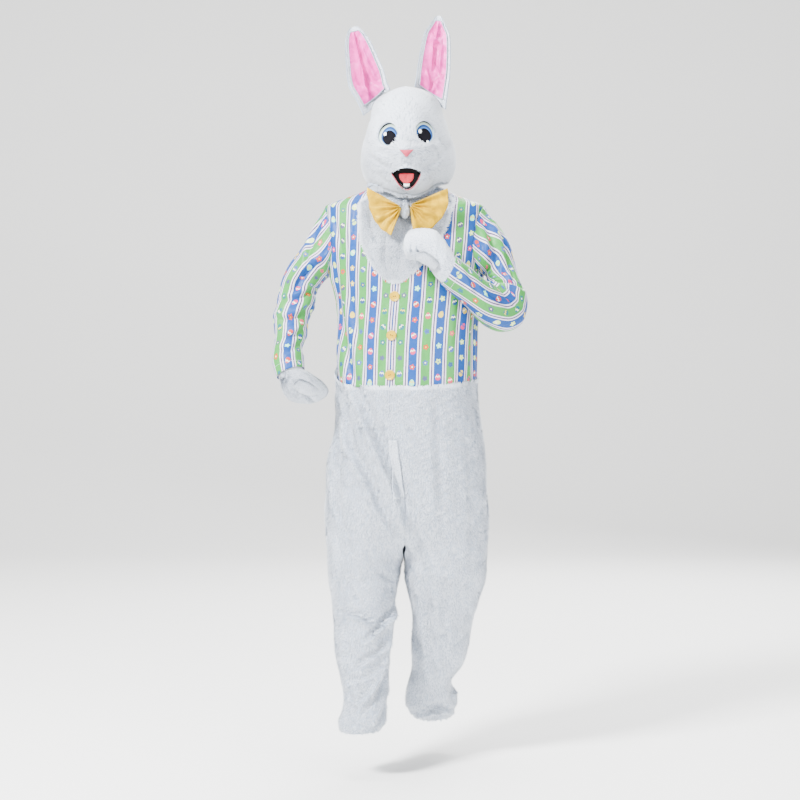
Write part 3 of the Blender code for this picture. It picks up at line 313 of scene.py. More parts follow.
def makeSatinPrint():
    s = satinPrint
    finish, tree, shader = newFinish(
        "printedPolyesterSatin", Roughness=0.42, Specular_IOR_Level=0.28, IOR=1.46
    )
    cut = addNode(tree, "UVMap", uv_map="cut").outputs[0]
    mm = addNode(tree, "VectorMath", {0: cut, "Scale": 1000.0}, operation="SCALE").outputs[0]
    parts = addNode(tree, "SeparateXYZ", {0: mm})
    u, v = parts.outputs[0], parts.outputs[1]
    across = calc(tree, "SUBTRACT", u, s["start"])
    turn = calc(tree, "FLOORED_MODULO", across, s["repeat"])
    share = calc(tree, "DIVIDE", turn, s["repeat"])
    widths = (
        (s["pinWhite"] * 1.1, "inkWhite"), (s["pinDark"], "inkPin"), (s["pinWhite"] * 1.1, "inkWhite"),
        (s["green"], "inkGreen"), (s["pinWhite"] * 1.1, "inkWhite"), (s["pinDark"], "inkPin"),
        (s["pinWhite"] * 1.1, "inkWhite"), (s["blue"], "inkBlue"),
    )
    stops, at, places = [], 0.0, {}
    for wide, ink in widths:
        stops.append((at / s["repeat"], s[ink]))
        places[ink] = at + wide / 2
        at += wide
    stripes = addNode(tree, "ValToRGB", {0: share}, stops=stops)
    stripes.color_ramp.interpolation = "CONSTANT"

    # Motifs sit in the middle of every green and blue stripe, one to a step down the cloth.
    half = s["repeat"] / 2
    shifted = calc(tree, "ADD", across, half / 2 - places["inkGreen"])
    column = calc(tree, "DIVIDE", shifted, half)
    column = calc(tree, "FLOOR", column)
    x = calc(tree, "FLOORED_MODULO", shifted, half)
    x = calc(tree, "SUBTRACT", x, half / 2)
    columnNoise = addNode(tree, "TexWhiteNoise", {"W": column}, noise_dimensions="1D").outputs["Value"]
    down = calc(tree, "MULTIPLY_ADD", columnNoise, s["motifEvery"], v)
    rowAt = calc(tree, "DIVIDE", down, s["motifEvery"])
    rowAt = calc(tree, "FLOOR", rowAt)
    y = calc(tree, "FLOORED_MODULO", down, s["motifEvery"])
    y = calc(tree, "SUBTRACT", y, s["motifEvery"] / 2)
    cell = addNode(tree, "CombineXYZ", {0: column, 1: rowAt}).outputs[0]
    noise = addNode(tree, "TexWhiteNoise", {"Vector": cell}, noise_dimensions="2D")
    picks = addNode(tree, "SeparateColor", {0: noise.outputs["Color"]})
    tilt = calc(tree, "MULTIPLY_ADD", picks.outputs[0], 1.5, -0.75)
    spot = addNode(tree, "CombineXYZ", {0: x, 1: y}).outputs[0]
    spot = addNode(tree, "VectorRotate", {"Vector": spot, "Angle": tilt}, rotation_type="Z_AXIS").outputs[0]
    spotParts = addNode(tree, "SeparateXYZ", {0: spot})
    mx, my = spotParts.outputs[0], spotParts.outputs[1]
    # egg: an oval that narrows towards its top
    narrow = calc(tree, "MULTIPLY_ADD", my, 0.028, 1.0)
    eggX = calc(tree, "MULTIPLY", mx, narrow)
    eggX = calc(tree, "DIVIDE", eggX, s["eggWide"])
    eggY = calc(tree, "DIVIDE", my, s["eggTall"])
    eggAt = addNode(tree, "CombineXYZ", {0: eggX, 1: eggY}).outputs[0]
    eggFar = addNode(tree, "VectorMath", {0: eggAt}, operation="LENGTH").outputs["Value"]
    # flower: five round petals
    swing = calc(tree, "ARCTAN2", my, mx)
    swing = calc(tree, "MULTIPLY", swing, 5.0)
    petal = calc(tree, "COSINE", swing)
    petal = calc(tree, "MULTIPLY_ADD", petal, 0.17 * s["flower"], 0.80 * s["flower"])
    flowerFar = addNode(tree, "VectorMath", {0: spot}, operation="LENGTH").outputs["Value"]
    flowerFar = calc(tree, "DIVIDE", flowerFar, petal)
    isEgg = calc(tree, "GREATER_THAN", picks.outputs[1], 0.45)
    far = addNode(tree, "Mix", {0: isEgg, 2: flowerFar, 3: eggFar}, data_type="FLOAT").outputs[0]
    inside = calc(tree, "LESS_THAN", far, 1.0)
    # eggs carry a light zigzag band, flowers a light eye
    zig = calc(tree, "PINGPONG", mx, 3.2)
    band = calc(tree, "SUBTRACT", my, zig)
    band = calc(tree, "ABSOLUTE", band)
    band = calc(tree, "LESS_THAN", band, 1.7)
    dot = calc(tree, "LESS_THAN", far, 0.3)
    trim = addNode(tree, "Mix", {0: isEgg, 2: dot, 3: band}, data_type="FLOAT").outputs[0]
    inks = {}
    for stripe in ("inksOnGreen", "inksOnBlue"):
        colours = s[stripe]
        ramp = addNode(
            tree, "ValToRGB", {0: picks.outputs[2]},
            stops=[(k / len(colours), c) for k, c in enumerate(colours)]
        )
        ramp.color_ramp.interpolation = "CONSTANT"
        inks[stripe] = ramp.outputs[0]
    onBlue = calc(tree, "FLOORED_MODULO", column, 2.0)
    ink = addNode(
        tree, "Mix", {0: onBlue, 6: inks["inksOnGreen"], 7: inks["inksOnBlue"]}, data_type="RGBA"
    ).outputs[2]
    trimInk = addNode(
        tree, "ValToRGB", {0: noise.outputs["Value"]},
        stops=[(0.0, "#F5F2D8"), (0.5, "#E3C640"), (0.75, "#2A478F")]
    )
    trimInk.color_ramp.interpolation = "CONSTANT"
    motif = addNode(tree, "Mix", {0: trim, 6: ink, 7: trimInk.outputs[0]}, data_type="RGBA").outputs[2]
    edge = calc(tree, "MULTIPLY", inside, 0.9)
    inked = addNode(tree, "Mix", {0: edge, 6: stripes.outputs[0], 7: motif}, data_type="RGBA").outputs[2]

    # Floats of the satin weave: fine streaks down the cloth. Real threads are near 0.1 mm; these are drawn
    # coarser, to show.
    streakAt = addNode(
        tree, "VectorMath", {0: mm, 1: (1 / s["thread"], 0.04 / s["thread"], 1.0)}, operation="MULTIPLY"
    ).outputs[0]
    streak = addNode(tree, "TexNoise", {"Vector": streakAt, "Scale": 1.0, "Detail": 2.0}).outputs[0]
    faded = addNode(tree, "TexNoise", {"Vector": mm, "Scale": 0.02, "Detail": 3.0}).outputs[0]
    light = addNode(tree, "MapRange", {0: streak, 1: 0.3, 2: 0.7, 3: 0.93, 4: 1.05}).outputs[0]
    wash = addNode(tree, "MapRange", {0: faded, 1: 0.3, 2: 0.7, 3: 0.95, 4: 1.04}).outputs[0]
    tone = calc(tree, "MULTIPLY", light, wash)
    colour = addNode(tree, "VectorMath", {0: inked, "Scale": tone}, operation="SCALE").outputs[0]
    tree.links.new(colour, shader.inputs["Base Color"])
    rough = addNode(tree, "MapRange", {0: streak, 1: 0.25, 2: 0.75, 3: 0.34, 4: 0.52}).outputs[0]
    tree.links.new(rough, shader.inputs["Roughness"])
    crush = addNode(
        tree, "TexNoise", {"Vector": mm, "Scale": 0.055, "Detail": 3.0, "Distortion": 0.8}
    ).outputs[0]
    relief = calc(tree, "MULTIPLY_ADD", crush, 12.0, streak)
    bump = addNode(tree, "Bump", {"Height": relief, "Strength": 0.35, "Distance": 0.0006}).outputs[0]
    tree.links.new(bump, shader.inputs["Normal"])
    return finish


# Plain satin, crushed where it is turned and stuffed: broad soft highlights broken by fine creases, from the
# finish's shine and also painted into its colour as painted highlight and painted shade
plainSatins = {
    # low, mid and high are darker and lighter tones of one satin: painted shade and painted highlight
    "pink": {
        "name": "crushedPinkSatin", "low": "#AE2F7D", "mid": "#E243A8", "high": "#EE72C1",
        "shine": "#FFC4E6", "crush": 0.02
    },
    "gold": {
        "name": "crushedGoldSatin", "low": "#8C6A00", "mid": "#C09600", "high": "#DCB400",
        "shine": "#FFE870", "crush": 0.02
    },
}


def makePlainSatin(kind):
    s = plainSatins[kind]
    finish, tree, shader = newFinish(s["name"], Roughness=0.3, Specular_Tint=s["shine"], IOR=1.5)
    cut = addNode(tree, "UVMap", uv_map="cut").outputs[0]
    mm = addNode(tree, "VectorMath", {0: cut, "Scale": 1000.0}, operation="SCALE").outputs[0]
    crush = addNode(
        tree, "TexNoise", {"Vector": mm, "Scale": s["crush"], "Detail": 4.0, "Distortion": 1.4}
    ).outputs[0]
    thin = addNode(tree, "VectorMath", {0: mm, 1: (1.6, 0.09, 1.0)}, operation="MULTIPLY").outputs[0]
    thread = addNode(tree, "TexNoise", {"Vector": thin, "Scale": 1.0, "Detail": 1.0}).outputs[0]
    # the base colour runs from the low to the high tone with the crush noise: painted shade and painted
    # highlight, on the same noise as the bump
    tone = addNode(tree, "ValToRGB", {0: crush}, stops=[(0.3, s["low"]), (0.5, s["mid"]), (0.72, s["high"])])
    tree.links.new(tone.outputs[0], shader.inputs["Base Color"])
    rough = addNode(tree, "MapRange", {0: thread, 1: 0.3, 2: 0.7, 3: 0.26, 4: 0.42}).outputs[0]
    tree.links.new(rough, shader.inputs["Roughness"])
    relief = calc(tree, "MULTIPLY_ADD", crush, 14.0, thread)
    bump = addNode(tree, "Bump", {"Height": relief, "Strength": 0.5, "Distance": 0.0007}).outputs[0]
    tree.links.new(bump, shader.inputs["Normal"])
    return finish


# Knitted polyester plush: matt fibres of a cool white, painted greyer towards the roots and on the knitted
# ground as painted shade within the pile, and a glow where light grazes them
plushLook = {"root": "#8E9CB1", "tip": "#DDE4EE", "backing": "#B5C0CE", "patch": 60.0, "wall": 0.0016}


def makePlush(name, pile):
    finish, tree, shader = newFinish(
        name, Roughness=0.85, Sheen_Weight=0.35, Sheen_Roughness=0.5, Specular_IOR_Level=0.2
    )
    place = addNode(tree, "TexCoord").outputs["Object"]
    patch = addNode(
        tree, "TexNoise", {"Vector": place, "Scale": 1000 / plushLook["patch"], "Detail": 4.0}
    ).outputs[0]
    wash = addNode(tree, "MapRange", {0: patch, 1: 0.3, 2: 0.7, 3: 0.94, 4: 1.03}).outputs[0]
    if pile:
        parts = addNode(tree, "SeparateXYZ", {0: addNode(tree, "UVMap", uv_map="cut").outputs[0]})
        up = calc(tree, "POWER", parts.outputs[1], 0.6)
        fibre = addNode(tree, "MapRange", {0: parts.outputs[0], 3: 0.93, 4: 1.04}).outputs[0]
        # fibres painted from the grey root colour at the ground to the white tip colour: painted shade deep
        # in the pile
        tone = addNode(
            tree, "ValToRGB", {0: up}, stops=[(0.0, plushLook["root"]), (0.75, plushLook["tip"])]
        ).outputs[0]
        wash = calc(tree, "MULTIPLY", wash, fibre)
    else:
        knit = addNode(tree, "TexNoise", {"Vector": place, "Scale": 700.0, "Detail": 1.0}).outputs[0]
        # the knitted ground painted in the grey root and backing colours: painted shade under the pile
        tone = addNode(
            tree, "ValToRGB", {0: knit}, stops=[(0.3, plushLook["root"]), (0.7, plushLook["backing"])]
        ).outputs[0]
        bump = addNode(tree, "Bump", {"Height": knit, "Strength": 0.5, "Distance": 0.0005}).outputs[0]
        tree.links.new(bump, shader.inputs["Normal"])
    colour = addNode(tree, "VectorMath", {0: tone, "Scale": wash}, operation="SCALE").outputs[0]
    tree.links.new(colour, shader.inputs["Base Color"])
    return finish


# Small matt and moulded finishes, each with its own grain in millimetres
smallColumns = ("name", "low", "high", "grain", "rough", "sheen", "specular")
smallFinishes = {
    "velvet": ("noseVelvet", "#8A1E36", "#C23A58", 0.9, 0.7, 0.35, 0.3),
    "lining": ("blackLining", "#040304", "#0C0A0C", 0.8, 0.8, 0.0, 0.1),
    "coral": ("coralFelt", "#96202A", "#B4323C", 1.2, 0.85, 0.1, 0.2),
    "lip": ("lipPiping", "#A03644", "#C85460", 1.0, 0.6, 0.2, 0.3),
    "tooth": ("whiteFelt", "#E4E2DC", "#FBFAF6", 1.4, 0.6, 0.2, 0.4),
    "thread": ("sewingThread", "#C9CCD3", "#EEF0F4", 0.5, 0.6, 0.3, 0.4),
    "button": ("mouldedNylonYellow", "#B38E00", "#C69F00", 9.0, 0.3, 0.0, 0.5),
    "buttonThread": ("buttonThread", "#8A6420", "#B98A35", 0.5, 0.6, 0.2, 0.4),
}


def makeSmall(kind):
    s = dict(zip(smallColumns, smallFinishes[kind]))
    finish, tree, shader = newFinish(
        s["name"], Roughness=s["rough"], Sheen_Weight=s["sheen"], Specular_IOR_Level=s["specular"], IOR=1.5)
    place = addNode(tree, "TexCoord").outputs["Object"]
    grain = addNode(
        tree, "TexNoise", {"Vector": place, "Scale": 1000 / s["grain"] / 2, "Detail": 2.0}
    ).outputs[0]
    tone = addNode(tree, "ValToRGB", {0: grain}, stops=[(0.3, s["low"]), (0.7, s["high"])])
    tree.links.new(tone.outputs[0], shader.inputs["Base Color"])
    rough = addNode(
        tree, "MapRange", {0: grain, 1: 0.3, 2: 0.7, 3: s["rough"] * 0.85, 4: min(1.0, s["rough"] * 1.1)}
    ).outputs[0]
    tree.links.new(rough, shader.inputs["Roughness"])
    bump = addNode(
        tree, "Bump", {"Height": grain, "Strength": 0.3, "Distance": 0.0002 + s["grain"] * 0.00008}
    ).outputs[0]
    tree.links.new(bump, shader.inputs["Normal"])
    return finish


# Printed see-through mesh of the eyes: flat satiny ink with rows of fine holes, painted as small dark dots:
# painted shade of the dark inside seen through them
eyePrint = {
    "white": "#BFD3D3", "rim": "#7391AA", "irisOut": "#1E3C72", "iris": "#4674B4", "pupil": "#0A090F",
    "brow": "#26272C", "lid": "#93A493", "hole": 1.1, "irisSize": 25.0, "pupilSize": 18.5,
}


def makeEyePrint():
    # The cut is in millimetres from the middle of the opening: across to the wearer's left, and up.
    s = eyePrint
    finish, tree, shader = newFinish("printedEyeMesh", Roughness=0.8, Specular_IOR_Level=0.08, IOR=1.5)
    mm = addNode(tree, "UVMap", uv_map="cut").outputs[0]
    irisAt = addNode(tree, "VectorMath", {0: mm, 1: (1.5, -2.5, 0.0)}, operation="DISTANCE").outputs["Value"]
    share = calc(tree, "DIVIDE", irisAt, s["irisSize"])
    base = addNode(tree, "ValToRGB", {0: share}, stops=[
        (0.0, s["iris"]), (0.62, s["iris"]), (0.80, s["irisOut"]), (0.88, s["irisOut"]),
        (0.93, s["rim"]), (1.0, s["white"])]).outputs[0]
    pupilAt = addNode(tree, "VectorMath", {0: mm, 1: (1.5, -6.5, 0.0)}, operation="DISTANCE").outputs["Value"]
    pupil = calc(tree, "LESS_THAN", pupilAt, s["pupilSize"])
    colour = addNode(tree, "Mix", {0: pupil, 6: base, 7: s["pupil"]}, data_type="RGBA").outputs[2]
    for x, y, size in ((-10.5, 4.5, 4.6), (9.5, -22.0, 3.4)):
        glint = addNode(tree, "VectorMath", {0: mm, 1: (x, y, 0.0)}, operation="DISTANCE").outputs["Value"]
        glint = calc(tree, "LESS_THAN", glint, size)
        colour = addNode(tree, "Mix", {0: glint, 6: colour, 7: "#F4F6F6"}, data_type="RGBA").outputs[2]
    # lid above the iris, closed by a dark brow line
    lidAt = addNode(tree, "VectorMath", {0: mm, 1: (2.0, -8.0, 0.0)}, operation="DISTANCE").outputs["Value"]
    lid = calc(tree, "GREATER_THAN", lidAt, 31.5)
    colour = addNode(tree, "Mix", {0: lid, 6: colour, 7: s["lid"]}, data_type="RGBA").outputs[2]
    brow = calc(tree, "GREATER_THAN", lidAt, 35.0)
    high = addNode(tree, "SeparateXYZ", {0: mm}).outputs[1]
    above = calc(tree, "GREATER_THAN", high, 9.0)
    brow = calc(tree, "MULTIPLY", brow, above)
    colour = addNode(tree, "Mix", {0: brow, 6: colour, 7: s["brow"]}, data_type="RGBA").outputs[2]
    # the holes darken the print in small dots, painted shade, and dent it a little in the bump
    holes = addNode(
        tree, "TexVoronoi", {"Vector": mm, "Scale": 1 / s["hole"], "Randomness": 0.0}
    ).outputs["Distance"]
    holes = addNode(tree, "MapRange", {0: holes, 1: 0.18, 2: 0.3, 3: 0.72, 4: 1.0}).outputs[0]
    colour = addNode(tree, "VectorMath", {0: colour, "Scale": holes}, operation="SCALE").outputs[0]
    tree.links.new(colour, shader.inputs["Base Color"])
    bump = addNode(tree, "Bump", {"Height": holes, "Strength": 0.3, "Distance": 0.0002}).outputs[0]
    tree.links.new(bump, shader.inputs["Normal"])
    return finish


satinFinish = makeSatinPrint()
pinkFinish = makePlainSatin("pink")
goldFinish = makePlainSatin("gold")
plushFinish = makePlush("plushBacking", False)
pileFinish = makePlush("plushPile", True)
eyeFinish = makeEyePrint()
small = {kind: makeSmall(kind) for kind in smallFinishes}
print("finishes made:", len(bpy.data.materials))


# Bodice: two fronts, a back, and the plush bib let into the fronts

# height, mid x, mid y, half width, front depth, back depth, turn in degrees
bodice = {
    "rows": (
        (-0.520, 0.001, 0.000, 0.196, 0.155, 0.135, -18),
        (-0.440, 0.002, 0.000, 0.196, 0.150, 0.130, -18),
        (-0.360, 0.003, 0.000, 0.196, 0.148, 0.128, -17),
        (-0.280, 0.004, 0.000, 0.202, 0.146, 0.128, -15),
        (-0.210, 0.000, 0.000, 0.212, 0.142, 0.126, -12),
        (-0.140, -0.003, 0.000, 0.218, 0.132, 0.120, -9),
        (-0.080, -0.005, 0.002, 0.222, 0.118, 0.110, -7),
        (-0.020, -0.007, 0.005, 0.219, 0.095, 0.092, -5),
        (0.000, -0.005, 0.008, 0.178, 0.088, 0.084, -3),
        (0.020, -0.003, 0.010, 0.125, 0.080, 0.078, -1),
        (0.035, -0.002, 0.010, 0.088, 0.072, 0.072, 0),
    ),
    "armhole": (-0.1145, 0.0955, 30.0),  # height of its middle, half height, half angle
    "wall": 0.0012,
    "soft": 0.0016,  # slack of the satin between its creases
    "creases": (
        # depth, width, ridge, path seen from the front
        (0.0110, 0.010, 0.75, (336, 268), (339, 312), (344, 340), (352, 372), (357, 384)),
        (0.0050, 0.008, 0.70, (344, 262), (352, 305), (361, 350), (367, 381)),
        (0.0040, 0.007, 0.60, (333, 300), (338, 340), (345, 372)),
        (0.0035, 0.006, 0.60, (332, 214), (340, 240), (346, 262)),
        (0.0030, 0.006, 0.50, (356, 205), (352, 232), (347, 258)),
        (0.0045, 0.008, 0.60, (477, 296), (473, 330), (470, 378)),
        (0.0030, 0.007, 0.50, (463, 250), (458, 300), (455, 350)),
        (0.0030, 0.006, 0.50, (480, 205), (476, 232), (478, 258)),
        (0.0025, 0.007, 0.50, (420, 330), (424, 352), (427, 388)),
        (0.0022, 0.006, 0.50, (385, 322), (383, 350), (378, 388)),
    ),
    "backCreases": (
        (0.0080, 0.010, 0.70, (349, 262), (356, 310), (366, 352), (372, 380)),
        (0.0050, 0.009, 0.60, (467, 260), (459, 310), (452, 350), (448, 378)),
        (0.0040, 0.009, 0.60, (400, 240), (404, 290), (402, 340)),
        (0.0045, 0.007, 0.60, (352, 214), (372, 224), (398, 228), (430, 225), (462, 214)),
        (0.0035, 0.007, 0.50, (362, 232), (398, 246), (446, 236)),
        (0.0040, 0.008, 0.60, (425, 300), (423, 340), (428, 384)),
    ),
}
bib = {
    # height, right and left half angles
    "edge": (
        (-0.236, 0.0, 0.0), (-0.232, 1.3, 1.3), (-0.222, 5.5, 5.5), (-0.207, 10.0, 10.0),
        (-0.180, 15.5, 15.5), (-0.140, 22.5, 23.0), (-0.115, 25.0, 26.5), (-0.080, 26.5, 31.0),
        (-0.020, 29.0, 37.0), (0.000, 31.0, 44.0),
        (0.020, 36.0, 56.0), (0.035, 42.0, 62.0),
    ),
    "creases": (
        (0.0050, 0.007, 0.60, (386, 236), (384, 262), (392, 282)),
        (0.0030, 0.006, 0.50, (402, 222), (400, 250), (401, 276)),
        (0.0035, 0.006, 0.50, (370, 205), (372, 232), (381, 256)),
    ),
    "pile": {
        "count": 28000, "rise": 0.0045, "reach": 0.006, "width": 0.0016, "tuft": 0.007, "gather": 0.35,
        "swirl": 0.35, "swirlScale": 0.05, "loose": 0.30, "shadeLean": 0.25,
    },
    "fringe": {
        "count": 5000, "rise": 0.0045, "reach": 0.011, "width": 0.0012, "tuft": 0.006, "gather": 0.55,
        "swirl": 0.55, "swirlScale": 0.02, "loose": 0.30, "shadeLean": 0.25,
    },
}


def ovalPoint(rows, angle, height):
    angle = np.radians(angle)
    turn = np.radians(readTable(rows, height, 6))
    across, ahead = np.sin(angle), np.cos(angle)
    depth = np.where(ahead > 0, readTable(rows, height, 4), readTable(rows, height, 5))
    x = readTable(rows, height, 3) * np.sign(across) * np.abs(across) ** 0.88
    y = -depth * np.sign(ahead) * np.abs(ahead) ** 0.88
    outX = readTable(rows, height, 1) + x * np.cos(turn) - y * np.sin(turn)
    outY = readTable(rows, height, 2) + x * np.sin(turn) + y * np.cos(turn)
    return np.stack(np.broadcast_arrays(outX, outY, height), axis=-1)


def torsoPoint(angle, height):
    return ovalPoint(bodice["rows"], angle, height)


def torsoOut(angle, height):
    around = torsoPoint(angle + 1.0, height) - torsoPoint(angle - 1.0, height)
    up = torsoPoint(angle, height + 0.002) - torsoPoint(angle, height - 0.002)
    return unit(np.cross(around, up))


def waistHeight(angle):
    side = (np.asarray(angle, float) + 270) % 360 - 180
    return -0.499 - 0.016 * np.cos(np.radians(angle)) + 0.035 * np.exp(-((side / 25) ** 2))


def armholeReach(height):
    middle, half, angle = bodice["armhole"]
    return angle * np.sqrt(np.clip(1 - ((np.asarray(height, float) - middle) / half) ** 2, 0, 1))


def bibRight(height):
    return -np.where(np.asarray(height) < -0.236, 0.0, readTable(bib["edge"], height, 1))


def bibLeft(height):
    return np.where(np.asarray(height) < -0.236, 0.0, readTable(bib["edge"], height, 2))


def bodiceGrid(share, leftEdge, rightEdge):  # angles and heights, from the waist seam up to the neck
    middle, half, _ = bodice["armhole"]
    arm = middle - half * np.cos(np.linspace(0, np.pi, 26))
    rows = np.concatenate([np.linspace(-0.236, -0.213, 8)[:-1], arm, np.linspace(-0.014, 0.035, 13)])
    angles, heights = [], []
    for t in np.linspace(0, 1, 40)[:-1]:
        a = leftEdge(-0.24) + (rightEdge(-0.24) - leftEdge(-0.24)) * share
        angles.append(a)
        heights.append(waistHeight(a) + (-0.236 - waistHeight(a)) * t)
    for z in rows:
        angles.append(leftEdge(z) + (rightEdge(z) - leftEdge(z)) * share)
        heights.append(np.full(len(share), z))
    return np.array(angles), np.array(heights)


def grainAcross(angle, height, start):  # distance round the body from a seam, so the stripes hang straight
    turns = np.linspace(0, 180, 361)
    out = np.zeros(np.shape(angle))
    for k in range(angle.shape[0]):
        z = np.full(len(turns), height[k].mean())
        for sign in (1, -1):
            line = torsoPoint(start + sign * turns, z)
            run = np.concatenate([[0], np.cumsum(np.linalg.norm(np.diff(line, axis=0), axis=1))])
            off = (angle[k] - start) * sign
            out[k] = np.where(off >= 0, sign * np.interp(off, turns, run), out[k])
    return out


def dressed(points, normals, front, back, slack, seed):  # the smooth form with its creases laid in
    facing = -normals[..., 1]
    ahead = ease((facing + 0.15) / 0.5)
    behind = ease((-facing + 0.15) / 0.5)
    x, z = points[..., 0], points[..., 2]
    lift = creaseDepth(front, x, z) * ahead + creaseDepth(back, x, z) * behind
    lift = lift + slack * wander(points, seed, 0.11) - slack * 0.3
    return points + normals * lift[..., None]


bodiceBack = np.linspace(0, 1, 91)
panels = (
    (
        "bodiceFrontRight", "bodice_front_right", np.linspace(0, 1, 61), lambda z: armholeReach(z) - 90,
        bibRight, 0
    ),
    (
        "bodiceFrontLeft", "bodice_front_left", np.linspace(0, 1, 61), bibLeft,
        lambda z: 90 - armholeReach(z), 0
    ),
    (
        "bodiceBack", "bodice_back", bodiceBack, lambda z: 90 + armholeReach(z),
        lambda z: 270 - armholeReach(z), 180
    ),
)
satinGrids = {}
for name, node, share, leftEdge, rightEdge, start in panels:
    angle, height = bodiceGrid(share, leftEdge, rightEdge)
    smoothForm = torsoPoint(angle, height)
    out = torsoOut(angle, height)
    form = dressed(smoothForm, out, bodice["creases"], bodice["backCreases"], bodice["soft"], 3)
    across = grainAcross(angle, height, start)
    cut = np.stack([np.abs(across) if start == 0 else across + 0.0365, height + 0.6], -1)
    normals = outward(form, gridNormals(form), smoothForm.mean(axis=(0, 1)) * (1, 0, 1))
    piece = clothShell(name, form, normals, bodice["wall"], satinFinish, cut)
    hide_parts(node)
    satinGrids[name] = form, normals
    declareCloth(piece, smoothForm)
print("bodice sewn")


def plushPiece(
    name, node, surface, normals, pile, seed, held, keep=None, comb=None,
    edges=None
):
    # The knitted ground lies under the pile, so that the fibre tips reach the form itself.
    ground = surface - normals * pile["rise"]
    backing = clothShell(name, ground, normals, plushLook["wall"], plushFinish, keep=keep)
    fibres = growPile(name + "Pile", ground, normals, pile, seed, pileFinish, keep=keep, comb=comb)
    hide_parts(node)
    if edges:
        where, longer, way = edges
        fringe = growPile(
            name + "Fringe", ground, normals, longer, seed + 200, pileFinish, keep=where, comb=way
        )
    if held == "padded":
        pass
    else:
        declareCloth(backing, surface)
    return backing


angle, height = bodiceGrid(np.linspace(0, 1, 61), bibRight, bibLeft)
angle, height = angle[40:], height[40:]
out = torsoOut(angle, height)
form = torsoPoint(angle, height) + out * 0.005
form = dressed(form, out, bib["creases"], (), 0.0015, 4)
border = np.zeros((form.shape[0] - 1, form.shape[1] - 1), bool)
border[:, :3] = border[:, -3:] = border[:3] = True
bibMiddle = form[len(form) // 2, form.shape[1] // 2]
edges = (border, bib["fringe"], lambda root: unit(root - bibMiddle + np.array((0.0, 0.0, -0.05))))
plushPiece(
    "chestBib", "bib", form, out, bib["pile"], 11, "laid",
    edges=edges
)
print("bib let in")


# Low-crotched trousers: two fronts and two backs, and the placket over the centre seam

